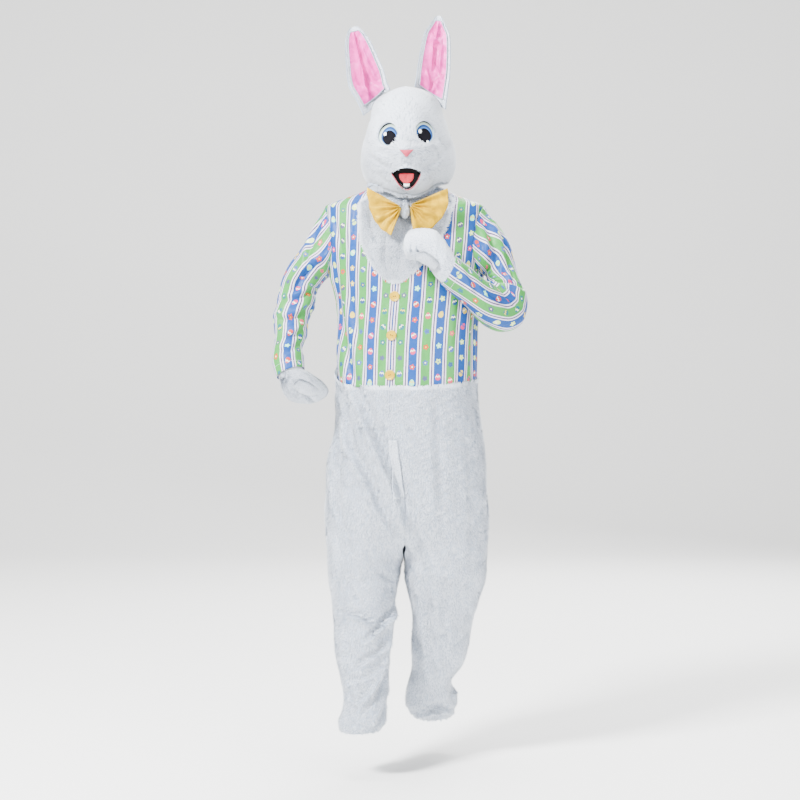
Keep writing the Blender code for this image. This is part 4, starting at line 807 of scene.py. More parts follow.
trousers = {
    "pelvis": (
        (-1.020, 0.000, 0.000, 0.2235, 0.150, 0.150, 0),
        (-0.9384, 0.0005, 0.000, 0.2286, 0.160, 0.158, -2),
        (-0.8639, 0.0001, 0.000, 0.2310, 0.166, 0.160, -5),
        (-0.7397, -0.0009, 0.000, 0.2230, 0.168, 0.156, -10),
        (-0.6180, 0.0037, 0.000, 0.2083, 0.163, 0.146, -16),
        (-0.5200, 0.0010, 0.000, 0.2010, 0.160, 0.140, -18),
        (-0.4400, 0.0020, 0.000, 0.2010, 0.155, 0.135, -18),
    ),
    # height, outer x, inner x, mid y, half depth
    "legRight": (
        (-1.4334, -0.1833, -0.0694, -0.165, 0.060), (-1.4078, -0.1878, -0.0529, -0.158, 0.066),
        (-1.3804, -0.1794, -0.0508, -0.150, 0.068), (-1.3528, -0.1782, -0.0488, -0.140, 0.072),
        (-1.2975, -0.1872, -0.0450, -0.120, 0.080), (-1.2262, -0.2003, -0.0379, -0.095, 0.088),
        (-1.1616, -0.2039, -0.0326, -0.072, 0.094), (-1.0970, -0.2090, -0.0273, -0.040, 0.104),
        (-1.0500, -0.2180, -0.0180, -0.014, 0.116), (-1.0200, -0.2225, -0.0120, 0.000, 0.125),
        (-0.9400, -0.2270, -0.0120, 0.000, 0.140), (-0.8400, -0.2300, -0.0120, 0.000, 0.150),
    ),
    "legLeft": (
        (-1.4498, 0.1292, 0.0169, 0.085, 0.060), (-1.4292, 0.1374, 0.0014, 0.080, 0.064),
        (-1.4086, 0.1463, -0.0084, 0.075, 0.067), (-1.3796, 0.1461, -0.0056, 0.070, 0.069),
        (-1.3469, 0.1285, -0.0014, 0.060, 0.073), (-1.2977, 0.1584, 0.0084, 0.050, 0.080),
        (-1.2395, 0.1751, 0.0089, 0.035, 0.087), (-1.1622, 0.1870, 0.0110, 0.020, 0.094),
        (-1.1054, 0.2046, 0.0041, 0.010, 0.104), (-1.0500, 0.2200, -0.0080, 0.002, 0.116),
        (-1.0200, 0.2245, -0.0120, 0.000, 0.125), (-0.9400, 0.2280, -0.0120, 0.000, 0.140),
        (-0.8400, 0.2310, -0.0120, 0.000, 0.150),
    ),
    "crotch": -1.02,
    "seat": -0.85,
    "grid": (43, 52, 56),  # columns, rows of the leg, rows above the crotch
    "slack": 0.0035,
    "creases": (
        (
            0.0217, 0.010, 0.80, (349, 366), (360, 396), (371, 418), (381, 442), (392, 466), (404, 496),
            (413, 524), (418, 556)
        ),
        (0.0159, 0.009, 0.75, (341, 402), (352, 443), (367, 468), (381, 500), (392, 520), (401, 534)),
        (0.0116, 0.009, 0.60, (336, 404), (337, 455), (338, 500), (346, 530)),
        (0.0087, 0.008, 0.50, (366, 392), (380, 428), (396, 462), (407, 486)),
        (0.0065, 0.010, 0.50, (468, 440), (472, 500), (470, 560)),
        (0.0058, 0.012, 0.50, (436, 400), (438, 450), (441, 520)),
        (0.0051, 0.008, 0.50, (400, 540), (408, 552), (414, 566)),
        (0.0116, 0.007, 0.80, (338, 606), (350, 604), (361, 606), (372, 612), (384, 613)),
        (0.0159, 0.006, 0.90, (366, 630), (378, 620), (390, 608), (398, 596)),
        (0.0109, 0.006, 0.80, (356, 655), (366, 648), (378, 642), (388, 632)),
        (0.0065, 0.006, 0.70, (346, 672), (358, 667), (372, 662), (382, 652)),
        (0.0159, 0.007, 0.85, (398, 600), (394, 640), (388, 664), (378, 684), (364, 698)),
        (0.0101, 0.006, 0.80, (398, 668), (392, 686), (384, 702), (376, 714)),
        (0.0072, 0.006, 0.70, (345, 681), (354, 686), (362, 683), (370, 676)),
        (0.0065, 0.007, 0.60, (380, 566), (390, 574), (399, 578)),
        (0.0116, 0.010, 0.60, (421, 556), (425, 590), (430, 640), (434, 690)),
        (0.0058, 0.010, 0.50, (446, 560), (444, 620), (446, 680)),
        (0.0159, 0.006, 0.90, (412, 716), (424, 714), (436, 709), (446, 708), (458, 714)),
        (0.0087, 0.006, 0.80, (424, 707), (438, 709), (452, 714), (464, 717)),
        (0.0087, 0.006, 0.70, (452, 699), (458, 690), (464, 684)),
    ),
    "backCreases": (
        (0.0174, 0.010, 0.75, (352, 400), (372, 440), (392, 480), (406, 520), (412, 556)),
        (0.0145, 0.010, 0.75, (462, 400), (446, 440), (428, 480), (416, 520), (411, 560)),
        (0.0101, 0.009, 0.60, (380, 398), (392, 440), (402, 480)),
        (0.0145, 0.007, 0.80, (344, 618), (360, 612), (378, 610), (394, 604)),
        (0.0116, 0.007, 0.80, (346, 640), (364, 632), (388, 630)),
        (0.0116, 0.007, 0.80, (350, 664), (366, 654), (390, 652)),
        (0.0116, 0.007, 0.80, (420, 620), (438, 616), (460, 622)),
        (0.0101, 0.007, 0.80, (418, 650), (436, 642), (458, 646)),
        (0.0130, 0.006, 0.85, (410, 700), (428, 694), (448, 696)),
        (0.0101, 0.006, 0.80, (346, 700), (362, 694), (384, 696)),
    ),
    "pile": {
        "count": 45000, "rise": 0.0048, "reach": 0.0062, "width": 0.0023, "tuft": 0.008, "gather": 0.40,
        "swirl": 0.40, "swirlScale": 0.05, "loose": 0.28, "shadeLean": 0.15,
    },
    "waistFringe": {
        "count": 3000, "rise": 0.0050, "reach": 0.0110, "width": 0.0013, "tuft": 0.008, "gather": 0.55,
        "swirl": 0.60, "swirlScale": 0.03, "loose": 0.30, "shadeLean": 0.15,
    },
}


def legPoint(side, angle, height):
    rows = trousers["legRight"] if side < 0 else trousers["legLeft"]
    angle = np.radians(angle)
    outer, inner = readTable(rows, height, 1), readTable(rows, height, 2)
    x = (outer + inner) / 2 + np.abs(outer - inner) / 2 * np.sin(angle)
    y = readTable(rows, height, 3) - readTable(rows, height, 4) * np.cos(angle)
    return np.stack(np.broadcast_arrays(x, y, height), axis=-1)


def trouserPoint(side, half, u, height):  # u runs from the outside seam to the centre or inside seam
    if half > 0:
        above = ovalPoint(trousers["pelvis"], side * 90 * (1 - u), height)
        below = legPoint(side, side * (90 - 180 * u), height)
    else:
        above = ovalPoint(trousers["pelvis"], side * (90 + 90 * u), height)
        below = legPoint(side, side * (90 + 180 * u), height)
    rise = (height - trousers["crotch"]) / (trousers["seat"] - trousers["crotch"])
    return below + (above - below) * np.sin(np.clip(rise, 0, 1) * np.pi / 2)[..., None]


def trouserSurface(side, half, across, height):
    points = trouserPoint(side, half, across, height)
    step = trouserPoint(side, half, across + 0.01, height) - trouserPoint(side, half, across - 0.01, height)
    rise = trouserPoint(side, half, across, height + 0.003) - trouserPoint(side, half, across, height - 0.003)
    out = unit(np.cross(step, rise)) * (-side * half)
    return dressed(points, out, trousers["creases"], trousers["backCreases"], trousers["slack"], 7), out


def trouserGrid(side, half, columns, legRows, topRows):
    u = np.linspace(0, 1, columns)
    seam = side * 90 * (1 - u) if half > 0 else side * (90 + 90 * u)
    rows = trousers["legRight"] if side < 0 else trousers["legLeft"]
    hem = rows[0][0]
    crotch = trousers["crotch"]
    low = np.broadcast_to(np.linspace(hem, crotch, legRows)[:-1, None], (legRows - 1, columns))
    high = crotch + (waistHeight(seam) - crotch) * np.linspace(0, 1, topRows)[:, None]
    return np.broadcast_to(u, (legRows + topRows - 1, columns)), np.concatenate([low, high])


for side, word in ((-1, "right"), (1, "left")):
    for half, faceWord in ((1, "front"), (-1, "back")):
        across, height = trouserGrid(side, half, *trousers["grid"])
        form, out = trouserSurface(side, half, across, height)
        normals = outward(form, gridNormals(form), form.mean(axis=(0, 1)) + (0, half * 0.1, 0))
        name = "trouser" + faceWord.capitalize() + word.capitalize()
        seed = 20 + side + half * 3
        top = np.zeros((form.shape[0] - 1, form.shape[1] - 1), bool)
        top[-1:] = True
        edges = (top, trousers["waistFringe"], (0.0, 0.0, 1.0))
        plushPiece(
            name, f"trouser_{faceWord}_{word}", form, normals, trousers["pile"], seed, "hung",
            edges=edges
        )
print("trousers sewn")


def stitchRun(name, line, normals, stitch, finish):
    # Short raised stitches along a line of the cloth.
    runs = np.concatenate([[0], np.cumsum(np.linalg.norm(np.diff(line, axis=0), axis=1))])
    starts = np.arange(stitch["every"] * 0.2, runs[-1] - stitch["long"], stitch["every"])
    turns = np.linspace(0, 2 * np.pi, 6, endpoint=False)
    points, faces = [], []
    for start in starts:
        rings = []
        for share, size in ((0.0, 0.35), (0.25, 1.0), (0.75, 1.0), (1.0, 0.35)):
            at = start + stitch["long"] * share
            spot = np.array([np.interp(at, runs, line[:, k]) for k in range(3)])
            out = unit(np.array([np.interp(at, runs, normals[:, k]) for k in range(3)]))
            ahead = np.array([np.interp(at + 0.001, runs, line[:, k]) for k in range(3)]) - spot
            side = unit(np.cross(out, ahead))
            spot = spot + out * stitch["thick"] * 0.35
            rings.append(spot + circleOn(side, out, turns) * stitch["thick"] * 0.5 * size)
        base = len(points)
        points.extend(np.concatenate(rings))
        for r in range(3):
            for k in range(6):
                n = (k + 1) % 6
                faces.append((base + r * 6 + k, base + r * 6 + n, base + r * 6 + 6 + n, base + r * 6 + 6 + k))
    piece = meshPiece(name, points, faces, finish)
    return piece


# The placket is a folded strip of plush, topstitched along its edges; here it is one plush strip with its
# pile, without the stitches
placket = {
    "low": 0.42, "high": 0.725, "share": 0.975, "lift": 0.0035,
    "pile": {
        "count": 3000, "rise": 0.0026, "reach": 0.0060, "width": 0.0020, "tuft": 0.008, "gather": 0.4,
        "swirl": 0.4, "swirlScale": 0.05, "loose": 0.28, "shadeLean": 0.15,
    },
}


def placketGrid(columns, rows):
    reach = np.linspace(-1, 1, columns)
    crotch = trousers["crotch"]
    grid, outs = [], []
    for x in reach:
        side = -1 if x < 0 else 1
        u = np.full(rows, 1 - abs(x) * (1 - placket["share"]))
        along = np.linspace(placket["low"], placket["high"], rows)
        height = crotch + (waistHeight(side * 90 * (1 - u)) - crotch) * along
        form, out = trouserSurface(side, 1, u, height)
        grid.append(form + out * placket["lift"])
        outs.append(out)
    return np.stack(grid, 1), np.stack(outs, 1)


form, out = placketGrid(13, 50)
out = unit(out + out.mean(axis=1, keepdims=True))
plushPiece(
    "flyPlacket", "fly_placket", form, out, placket["pile"], 31, "laid",
)
print("placket laid")


# Sleeves set into the armholes, with turned cuffs

armTables = {
    # station, inner across, inner down, outer across, outer down, y, half depth
    "sleeveRight": (
        (0, 330.0, 276.0, 326.0, 206.0, 0.030, 0.066), (1, 329.0, 277.5, 309.0, 239.0, 0.034, 0.066),
        (2, 326.5, 280.0, 299.8, 249.6, 0.036, 0.063), (3, 321.4, 286.1, 286.5, 267.8, 0.036, 0.060),
        (4, 316.5, 294.0, 280.0, 285.0, 0.030, 0.056), (5, 314.5, 306.0, 277.5, 305.0, 0.014, 0.053),
        (6, 308.7, 320.0, 273.8, 320.0, 0.000, 0.051), (7, 308.0, 334.0, 274.0, 336.0, -0.012, 0.049),
        (8, 303.0, 348.5, 273.3, 350.0, -0.022, 0.046), (9, 304.5, 357.0, 272.0, 362.0, -0.034, 0.045),
        (10, 304.6, 368.4, 277.0, 378.2, -0.048, 0.043),
    ),
    "sleeveLeft": (
        (0, 485.3, 275.7, 500.5, 221.0, -0.030, 0.068), (1, 486.0, 276.4, 508.1, 236.2, -0.033, 0.064),
        (2, 486.3, 277.9, 513.2, 253.6, -0.038, 0.058), (3, 486.7, 280.4, 517.9, 271.0, -0.046, 0.055),
        (4, 486.9, 283.7, 523.3, 288.8, -0.058, 0.053), (5, 486.3, 286.2, 526.9, 305.1, -0.075, 0.052),
        (6, 484.5, 286.2, 520.8, 325.0, -0.098, 0.052), (7, 481.6, 283.3, 504.8, 331.9, -0.128, 0.050),
        (8, 478.0, 277.9, 486.0, 323.6, -0.157, 0.048), (9, 472.2, 269.6, 467.0, 307.2, -0.179, 0.046),
        (10, 463.9, 262.3, 453.4, 294.9, -0.195, 0.044), (11, 454.8, 255.4, 440.5, 283.9, -0.205, 0.042),
    ),
    "mittRight": (
        (0, 304.6, 368.4, 277.0, 378.2, -0.048, 0.043), (1, 309.0, 371.3, 283.5, 394.0, -0.056, 0.046),
        (2, 313.5, 374.0, 292.0, 401.5, -0.062, 0.047), (3, 318.0, 377.5, 303.0, 403.5, -0.066, 0.045),
        (4, 323.0, 381.5, 313.0, 403.0, -0.070, 0.040), (5, 327.0, 386.5, 322.5, 399.0, -0.073, 0.027),
        (6, 328.7, 391.2, 327.6, 395.0, -0.075, 0.000),
    ),
    "mittLeft": (
        (0, 454.8, 255.4, 440.5, 283.9, -0.205, 0.042), (1, 451.0, 249.0, 434.0, 276.0, -0.205, 0.044),
        (2, 444.0, 239.0, 427.0, 267.0, -0.203, 0.045), (3, 436.0, 230.5, 421.0, 262.0, -0.200, 0.045),
        (4, 424.0, 228.0, 414.0, 260.5, -0.196, 0.043), (5, 413.0, 229.0, 407.5, 259.0, -0.192, 0.037),
        (6, 407.0, 235.0, 404.5, 252.0, -0.189, 0.025), (7, 403.9, 241.0, 403.4, 247.0, -0.188, 0.000),
    ),
}
sleeves = {
    "wall": 0.0012,
    "slack": 0.0030,
    "elbow": {"Right": (4.5, 0.0012), "Left": (5.4, 0.0040)},  # station of the bend, height of its gathers
    "seamAt": 215.0,  # degrees round the arm, on the hidden inside
    "headGathers": (0.0016, 22),  # height at the armhole, number round the arm
    "fanWaves": 1.55,
    "grid": (106, 73),
    "hem": 0.021,
    "creases": (
        (0.0084, 0.006, 0.80, (323, 222), (314, 238), (309, 252), (306, 268)),
        (0.0098, 0.007, 0.80, (326, 262), (312, 268), (300, 280), (294, 296)),
        (0.0084, 0.006, 0.80, (318, 286), (304, 296), (292, 300), (282, 300)),
        (0.0084, 0.006, 0.80, (313, 304), (300, 316), (286, 320), (277, 318)),
        (0.0070, 0.006, 0.80, (308, 326), (296, 336), (284, 338)),
        (0.0056, 0.006, 0.70, (302, 344), (292, 350), (280, 350)),
        (0.0110, 0.008, 0.80, (484, 224), (490, 244), (494, 262), (496, 280)),
        (0.0070, 0.005, 0.80, (488, 244), (488, 262), (491, 276)),
        (0.0070, 0.006, 0.70, (497, 226), (505, 250), (509, 274)),
        (0.0110, 0.005, 0.95, (484, 279), (492, 282), (503, 284), (514, 286), (521, 290)),
        (0.0056, 0.004, 0.80, (492, 272), (497, 280)),
        (0.0056, 0.004, 0.80, (501, 272), (503, 282)),
        (0.0056, 0.004, 0.80, (510, 273), (511, 284)),
        (0.0063, 0.005, 0.80, (482, 294), (494, 303), (505, 308)),
        (0.0049, 0.005, 0.70, (500, 296), (510, 304), (519, 306)),
        (0.0049, 0.006, 0.60, (463, 272), (470, 284), (474, 298)),
    ),
    "backCreases": (
        (0.0084, 0.007, 0.80, (318, 240), (306, 258), (300, 282)),
        (0.0084, 0.006, 0.80, (314, 296), (298, 306), (282, 306)),
        (0.0070, 0.006, 0.80, (308, 322), (294, 330), (280, 328)),
        (0.0110, 0.006, 0.90, (488, 280), (504, 286), (520, 292)),
        (0.0084, 0.006, 0.80, (490, 290), (504, 300), (518, 302)),
        (0.0070, 0.006, 0.80, (492, 240), (506, 254), (512, 272)),
    ),
}
mitts = {
    "tuck": 0.0030,
    "thumbTuck": 0.0026,
    "slack": 0.0014,
    "creases": (
        (0.0070, 0.0045, 0.80, (309, 386), (315, 390), (321, 397)),
        (0.0060, 0.0045, 0.80, (304, 392), (310, 397), (314, 402)),
        (0.0050, 0.0050, 0.70, (316, 380), (320, 386), (325, 391)),
        (0.0035, 0.0060, 0.60, (296, 376), (300, 386), (300, 396)),
        (0.0090, 0.0050, 0.80, (406, 259), (412, 257), (419, 258), (425, 262)),
        (0.0050, 0.0040, 0.80, (411, 248), (411, 255), (412, 260)),
        (0.0045, 0.0040, 0.80, (417, 248), (417, 255), (418, 261)),
        (0.0050, 0.0060, 0.60, (436, 236), (438, 250), (436, 266)),
        (0.0035, 0.0050, 0.60, (446, 246), (446, 262), (442, 272)),
    ),
    "pile": {
        "count": 11000, "rise": 0.0042, "reach": 0.0055, "width": 0.0017, "tuft": 0.006, "gather": 0.25,
        "swirl": 0.30, "swirlScale": 0.05, "loose": 0.25, "shadeLean": 0.2,
    },
    # first and last row of the mitt's mesh, column at the root and at the tip, spread, height
    "thumbs": {"right": (2.8, 6.2, 4.2, 4.1, 1.05, 0.020), "left": (2.3, 4.9, 2.8, 1.9, 0.95, 0.018)},
    "thumbPile": {
        "count": 4000, "rise": 0.0030, "reach": 0.0050, "width": 0.0015, "tuft": 0.006, "gather": 0.25,
        "swirl": 0.30, "swirlScale": 0.05, "loose": 0.25, "shadeLean": 0.2,
    },
}


def armRing(rows, station, angle):  # oval of an arm; angle 0 is outside or on top, 90 in front, 180 inside
    def middle(at):
        y = readTable(rows, at, 5)
        inner = truePlace(readTable(rows, at, 1), readTable(rows, at, 2), y)
        outer = truePlace(readTable(rows, at, 3), readTable(rows, at, 4), y)
        return inner, outer

    last = rows[-1][0]
    inner, outer = middle(station)
    before = sum(middle(np.clip(station - 0.3, 0, last))) / 2
    after = sum(middle(np.clip(station + 0.3, 0, last))) / 2
    wide = (outer - inner) / 2
    deep = unit(np.cross(after - before, wide))
    deep = deep * np.where(deep[..., 1:2] < 0, 1.0, -1.0) * readTable(rows, station, 6)[..., None]
    angle = np.radians(angle)[..., None]
    return (inner + outer) / 2 + wide * np.cos(angle) + deep * np.sin(angle)


def armMiddle(rows, station, angle):
    return (armRing(rows, station, 0 * angle) + armRing(rows, station, 180 + 0 * angle)) / 2


def sleevePoint(side, station, angle):
    rows = armTables["sleeveRight" if side < 0 else "sleeveLeft"]
    middle, half, reach = bodice["armhole"]
    turn = np.radians(angle)
    start = torsoPoint(side * (90 - (reach - 0.2) * np.sin(turn)), middle + (half - 0.0006) * np.cos(turn))
    start = start - armRing(rows, np.zeros_like(station), angle)
    return armRing(rows, station, angle) + start * (1 - ease(station / 1.8))[..., None]


def armNormals(points):
    return outward(points, gridNormals(points), points[:, :-1].mean(axis=1, keepdims=True))


stitching = {"every": 0.0052, "long": 0.0036, "thick": 0.0008}
for side, word in ((-1, "Right"), (1, "Left")):
    last = armTables["sleeve" + word][-1][0]
    stations = np.linspace(0, last, sleeves["grid"][0])
    turns = sleeves["seamAt"] - 360 + np.linspace(0, 360, sleeves["grid"][1])
    station, angle = np.meshgrid(stations, turns, indexing="ij")
    smoothForm = sleevePoint(side, station, angle)
    out = armNormals(smoothForm)
    out[:, -1] = out[:, 0] = unit(out[:, 0] + out[:, -1])
    free = ease(station / 0.5) * (0.25 + 0.75 * ease((last - station) / 0.8))
    creased = dressed(
        smoothForm, out, sleeves["creases"], sleeves["backCreases"], sleeves["slack"], 40 + side
    )
    high, count = sleeves["headGathers"]
    nearHead = np.exp(-(((station - 0.5) / 0.6) ** 2)) * ease(station / 0.15)
    gathers = high * np.cos(np.radians(angle) * count) * nearHead
    spacing = np.linalg.norm(np.gradient(smoothForm, axis=0), axis=-1)
    room = ease(spacing / spacing.mean() / 0.9)
    bend, high = sleeves["elbow"][word]
    inside = np.clip(-np.cos(np.radians(angle)), 0, 1) ** 0.7
    waves = np.cos(2 * np.pi * sleeves["fanWaves"] * station + 0.8 * np.sin(np.radians(angle) * 2))
    fan = high * waves * np.exp(-(((station - bend) / 1.8) ** 2)) * inside
    creased = smoothForm + (creased - smoothForm) * (free * room)[..., None]
    creased = creased + out * (gathers * room + fan * (0.35 + 0.65 * room))[..., None]
    creased[:, -1] = creased[:, 0]
    normals = armNormals(creased)
    normals[:, -1] = normals[:, 0] = unit(normals[:, 0] + normals[:, -1])
    around = arcAlong(smoothForm, 1)
    front = np.argmin(np.abs(angle[0] - 90))
    along = arcAlong(smoothForm, 0).mean(axis=1, keepdims=True) + 0 * angle
    cut = np.stack([around - around[:, front:front + 1] + 0.058, along], -1)
    sleeve = clothShell("sleeve" + word, creased, normals, sleeves["wall"], satinFinish, cut)
    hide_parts("sleeve_" + word.lower())
    declareCloth(sleeve, smoothForm)
    fromCuff = along[-1, 0] - along[:, 0]
    row = int(np.argmin(np.abs(fromCuff - sleeves["hem"])))
    stitchRun(f"cuffStitches{word}", creased[row], normals[row], stitching, small["thread"])
print("sleeves set in")


# Mitts, each with a palm, a back and a thumb

for side, word in ((-1, "Right"), (1, "Left")):
    rows = armTables["mitt" + word]
    last = rows[-1][0]
    armLast = armTables["sleeve" + word][-1][0]
    for half, firstAngle in (("front", 0.0), ("behind", 180.0)):
        turns = firstAngle + np.linspace(0, 180, 33)
        station, angle = np.meshgrid(np.linspace(armLast - 0.3, armLast, 4), turns, indexing="ij")
        tucked = sleevePoint(side, station, angle)
        centre = armMiddle(armTables["sleeve" + word], station, angle)
        tucked = tucked - unit(tucked - centre) * mitts["tuck"]
        station, angle = np.meshgrid(last * np.linspace(0.07, 1, 46) ** 0.9, turns, indexing="ij")
        hand = armRing(rows, station, angle)
        grid = np.concatenate([tucked, hand])
        centre = np.concatenate([centre, armMiddle(rows, station, angle)])
        out = gridNormals(grid)
        out = out * (1.0 if np.sum(out * (grid - centre)) > 0 else -1.0)
        out[-2:] = unit(
            out[-3:-2].mean(axis=1, keepdims=True) * 0.3 + unit(grid[-1:] - centre[-9:-8].mean(axis=(0, 1)))
        )
        grid = dressed(grid, out, mitts["creases"], (), mitts["slack"], 50 + side)
        isPalm = (half == "front") == (side > 0)
        part = "palm" if isPalm else "back"
        comb = unit(grid[-1, 16] - grid[5, 16])
        plushPiece(
            f"mitt{word}{part.capitalize()}", f"mitt_{word.lower()}_{part}", grid, out, mitts["pile"],
            60 + side * 2 + isPalm, "stretched", comb=comb
        )
    # the thumb lies on the palm side of the mitt's own mesh
    turns = np.arange(16) * 22.5
    station, angle = np.meshgrid([armLast - 0.3, armLast], turns, indexing="ij")
    tucked = sleevePoint(side, station, angle)
    centre = tucked.mean(axis=1, keepdims=True)
    tucked = tucked - unit(tucked - centre) * mitts["thumbTuck"]
    station, angle = np.meshgrid(
        np.concatenate([np.linspace(0.8, last - 1, 6), [last - 0.45, last]]), turns, indexing="ij"
    )
    coarse = np.concatenate([tucked, armRing(rows, station, angle)])
    middle = coarse.mean(axis=1, keepdims=True)
    coarseOut = outward(coarse, gridNormals(coarse, True), middle)
    coarseOut[-1] = unit(middle[-1, 0] - middle[-3, 0])
    first, end, root, tip, spread, high = mitts["thumbs"][word.lower()]
    share = np.linspace(0, 1, 33)[:, None]
    across = np.linspace(-1, 1, 23)[None, :]
    wide = spread * (0.35 + 0.65 * np.sqrt(np.sin(np.pi * (0.08 + 0.84 * share))))
    cols = root + (tip - root) * share + wide * across
    rowsAt = first + (end - first) * share + 0 * across
    skin = between(coarse, rowsAt, cols)
    out = unit(between(coarseOut, rowsAt, cols))
    dome = np.sqrt(np.clip((1.03 - across**2) * (1.03 - (2 * share - 1) ** 2), 0, 1))[..., None]
    bulge = skin + out * (0.0018 + high * dome)
    outThumb = outward(bulge, gridNormals(bulge), bulge.mean(axis=(0, 1)) - out.mean(axis=(0, 1)) * 0.02)
    plushPiece(
        f"mitt{word}Thumb", f"mitt_{word.lower()}_thumb", bulge, outThumb, mitts["thumbPile"], 70 + side,
        "padded"
    )
print("mitts made")


# Head mask: a plush face and a plush back over a stiff form, worn over the whole head

head = {
    "middle": (0.002, 0.005, 0.152),
    "roll": 2.0,
    "wall": 0.007,
    "rimHeight": 0.030,
    "gridFront": (127, 105),
    "gridBack": (73, 63),
    # elevation, distance from the middle of the head
    "sideReach": (
        (-60.0, 0.153), (-45.0, 0.1556), (-30.0, 0.1484), (-19.0, 0.1404), (-9.5, 0.1328),
        (16.0, 0.1206), (33.0, 0.125), (56.0, 0.149), (90.0, 0.158),
    ),
    "frontReach": (
        (-62.0, 0.175), (-53.0, 0.188), (-43.0, 0.190), (-31.0, 0.175), (-20.0, 0.164), (-10.0, 0.152),
        (0.0, 0.131), (15.0, 0.1245), (31.0, 0.132), (49.0, 0.144), (70.0, 0.158), (90.0, 0.158),
    ),
    "backReach": (
        (-60.0, 0.145), (-45.0, 0.140), (-30.0, 0.130), (-9.0, 0.130),
        (16.0, 0.135), (33.0, 0.140), (56.0, 0.150), (90.0, 0.158),
    ),
    # sideways angle, elevation, height of the bump, its width in degrees
    "bumps": (
        (-22, 10, -0.004, 12), (22, 10, -0.004, 12), (-22, 32, 0.004, 13),
        (22, 32, 0.004, 13), (-50, -25, 0.004, 22), (50, -25, 0.004, 22),
    ),
    "creases": (
        # the smile: from each corner of the mouth up under the cheek
        (0.0055, 0.0055, 0.90, (391.5, 172), (385, 170), (378, 165.5), (372, 160), (369, 153)),
        (0.0060, 0.0055, -0.10, (421, 171.5), (428, 170), (435, 165.5), (441, 160), (445, 152)),
        (0.0030, 0.0060, 0.50, (376, 176), (384, 184), (394, 190)),
        (0.0030, 0.0060, 0.50, (436, 176), (429, 184), (420, 190)),
        (0.0025, 0.0035, 0.30, (406.6, 157), (406.5, 162), (406.4, 168)),
        (0.0035, 0.0050, 0.50, (378, 148), (386, 150), (395, 148)),
        (0.0035, 0.0050, 0.50, (417, 147), (427, 148), (435, 146)),
    ),
    "slack": 0.0012,
    "fringeBelow": 0.042,
    "bareLip": 0.011,
    "fringe": {
        "count": 8000, "rise": 0.0080, "reach": 0.0230, "width": 0.0016, "tuft": 0.008, "gather": 0.40,
        "swirl": 0.35, "swirlScale": 0.04, "loose": 0.25, "shadeLean": 0.30,
    },
    "pileFront": {
        "count": 84000, "rise": 0.0058, "reach": 0.0085, "width": 0.0013, "tuft": 0.0075, "gather": 0.55,
        "swirl": 0.50, "swirlScale": 0.045, "loose": 0.30, "shadeLean": 0.30,
    },
    "pileBack": {
        "count": 45000, "rise": 0.0058, "reach": 0.0085, "width": 0.0016, "tuft": 0.0075, "gather": 0.55,
        "swirl": 0.50, "swirlScale": 0.045, "loose": 0.30, "shadeLean": 0.30,
    },
}
face = {
    # middle across, middle down, half width, half height of each eye opening
    "eyes": {"Right": (387.2, 133.5, 10.4, 11.6), "Left": (425.7, 131.4, 9.9, 11.3)},
    "eyeDepth": -0.128,
    "mouthTopDepth": -0.150,
    "mouthLowDepth": -0.132,
    "mouth": (
        (391.0, 172.0), (396.0, 171.0), (401.0, 169.6), (406.3, 169.0), (411.5, 169.5), (416.0, 170.8),
        (420.8, 171.6), (419.2, 177.5), (416.0, 183.5), (412.0, 188.0), (407.2, 189.9), (402.6, 188.4),
        (398.4, 184.0), (394.6, 178.0),
    ),
    "lip": 0.0016,
}
headMiddle = np.array(head["middle"])


def headReach(sideways, lift):
    side = readTable(head["sideReach"], lift, 1)
    front = readTable(head["frontReach"], lift, 1)
    back = readTable(head["backReach"], lift, 1)
    ahead = np.cos(np.radians(sideways))
    forward = side + (front - side) * np.exp(-((sideways / 38) ** 2))
    reach = np.where(ahead > 0, forward, side + (back - side) * ahead**2)
    for at, up, high, wide in head["bumps"]:
        turn = (sideways - at + 180) % 360 - 180
        reach = reach + high * np.exp(-((turn * np.cos(np.radians(lift))) ** 2 + (lift - up) ** 2) / wide**2)
    return reach


def rolled(v, degrees):
    c, s = np.cos(np.radians(degrees)), np.sin(np.radians(degrees))
    return np.stack([v[..., 0] * c - v[..., 2] * s, v[..., 1], v[..., 0] * s + v[..., 2] * c], -1)


def headPoint(sideways, lift):
    a, e = np.radians(sideways), np.radians(lift)
    way = np.stack([np.sin(a) * np.cos(e), -np.cos(a) * np.cos(e), np.sin(e)], -1)
    return headMiddle + rolled(way * headReach(sideways, lift)[..., None], head["roll"])


def headSurface(x, y):  # the head opened flat: the crown at 0, 0 and the rim on the unit circle
    r = np.hypot(x, y)
    around = (np.degrees(np.arctan2(x, -y)) + 180) % 360 - 180
    low = -46 - 7 * np.exp(-((around / 38) ** 2))
    shape = headPoint(around, 90 - np.clip(r / 0.85, 0, 1) * (90 - low))
    height = np.full_like(r, head["rimHeight"])
    rim = torsoPoint(around, height) + torsoOut(around, height) * (0.0056 + head["wall"])
    return shape + (rim - shape) * np.clip((r - 0.85) / 0.15, 0, 1)[..., None]


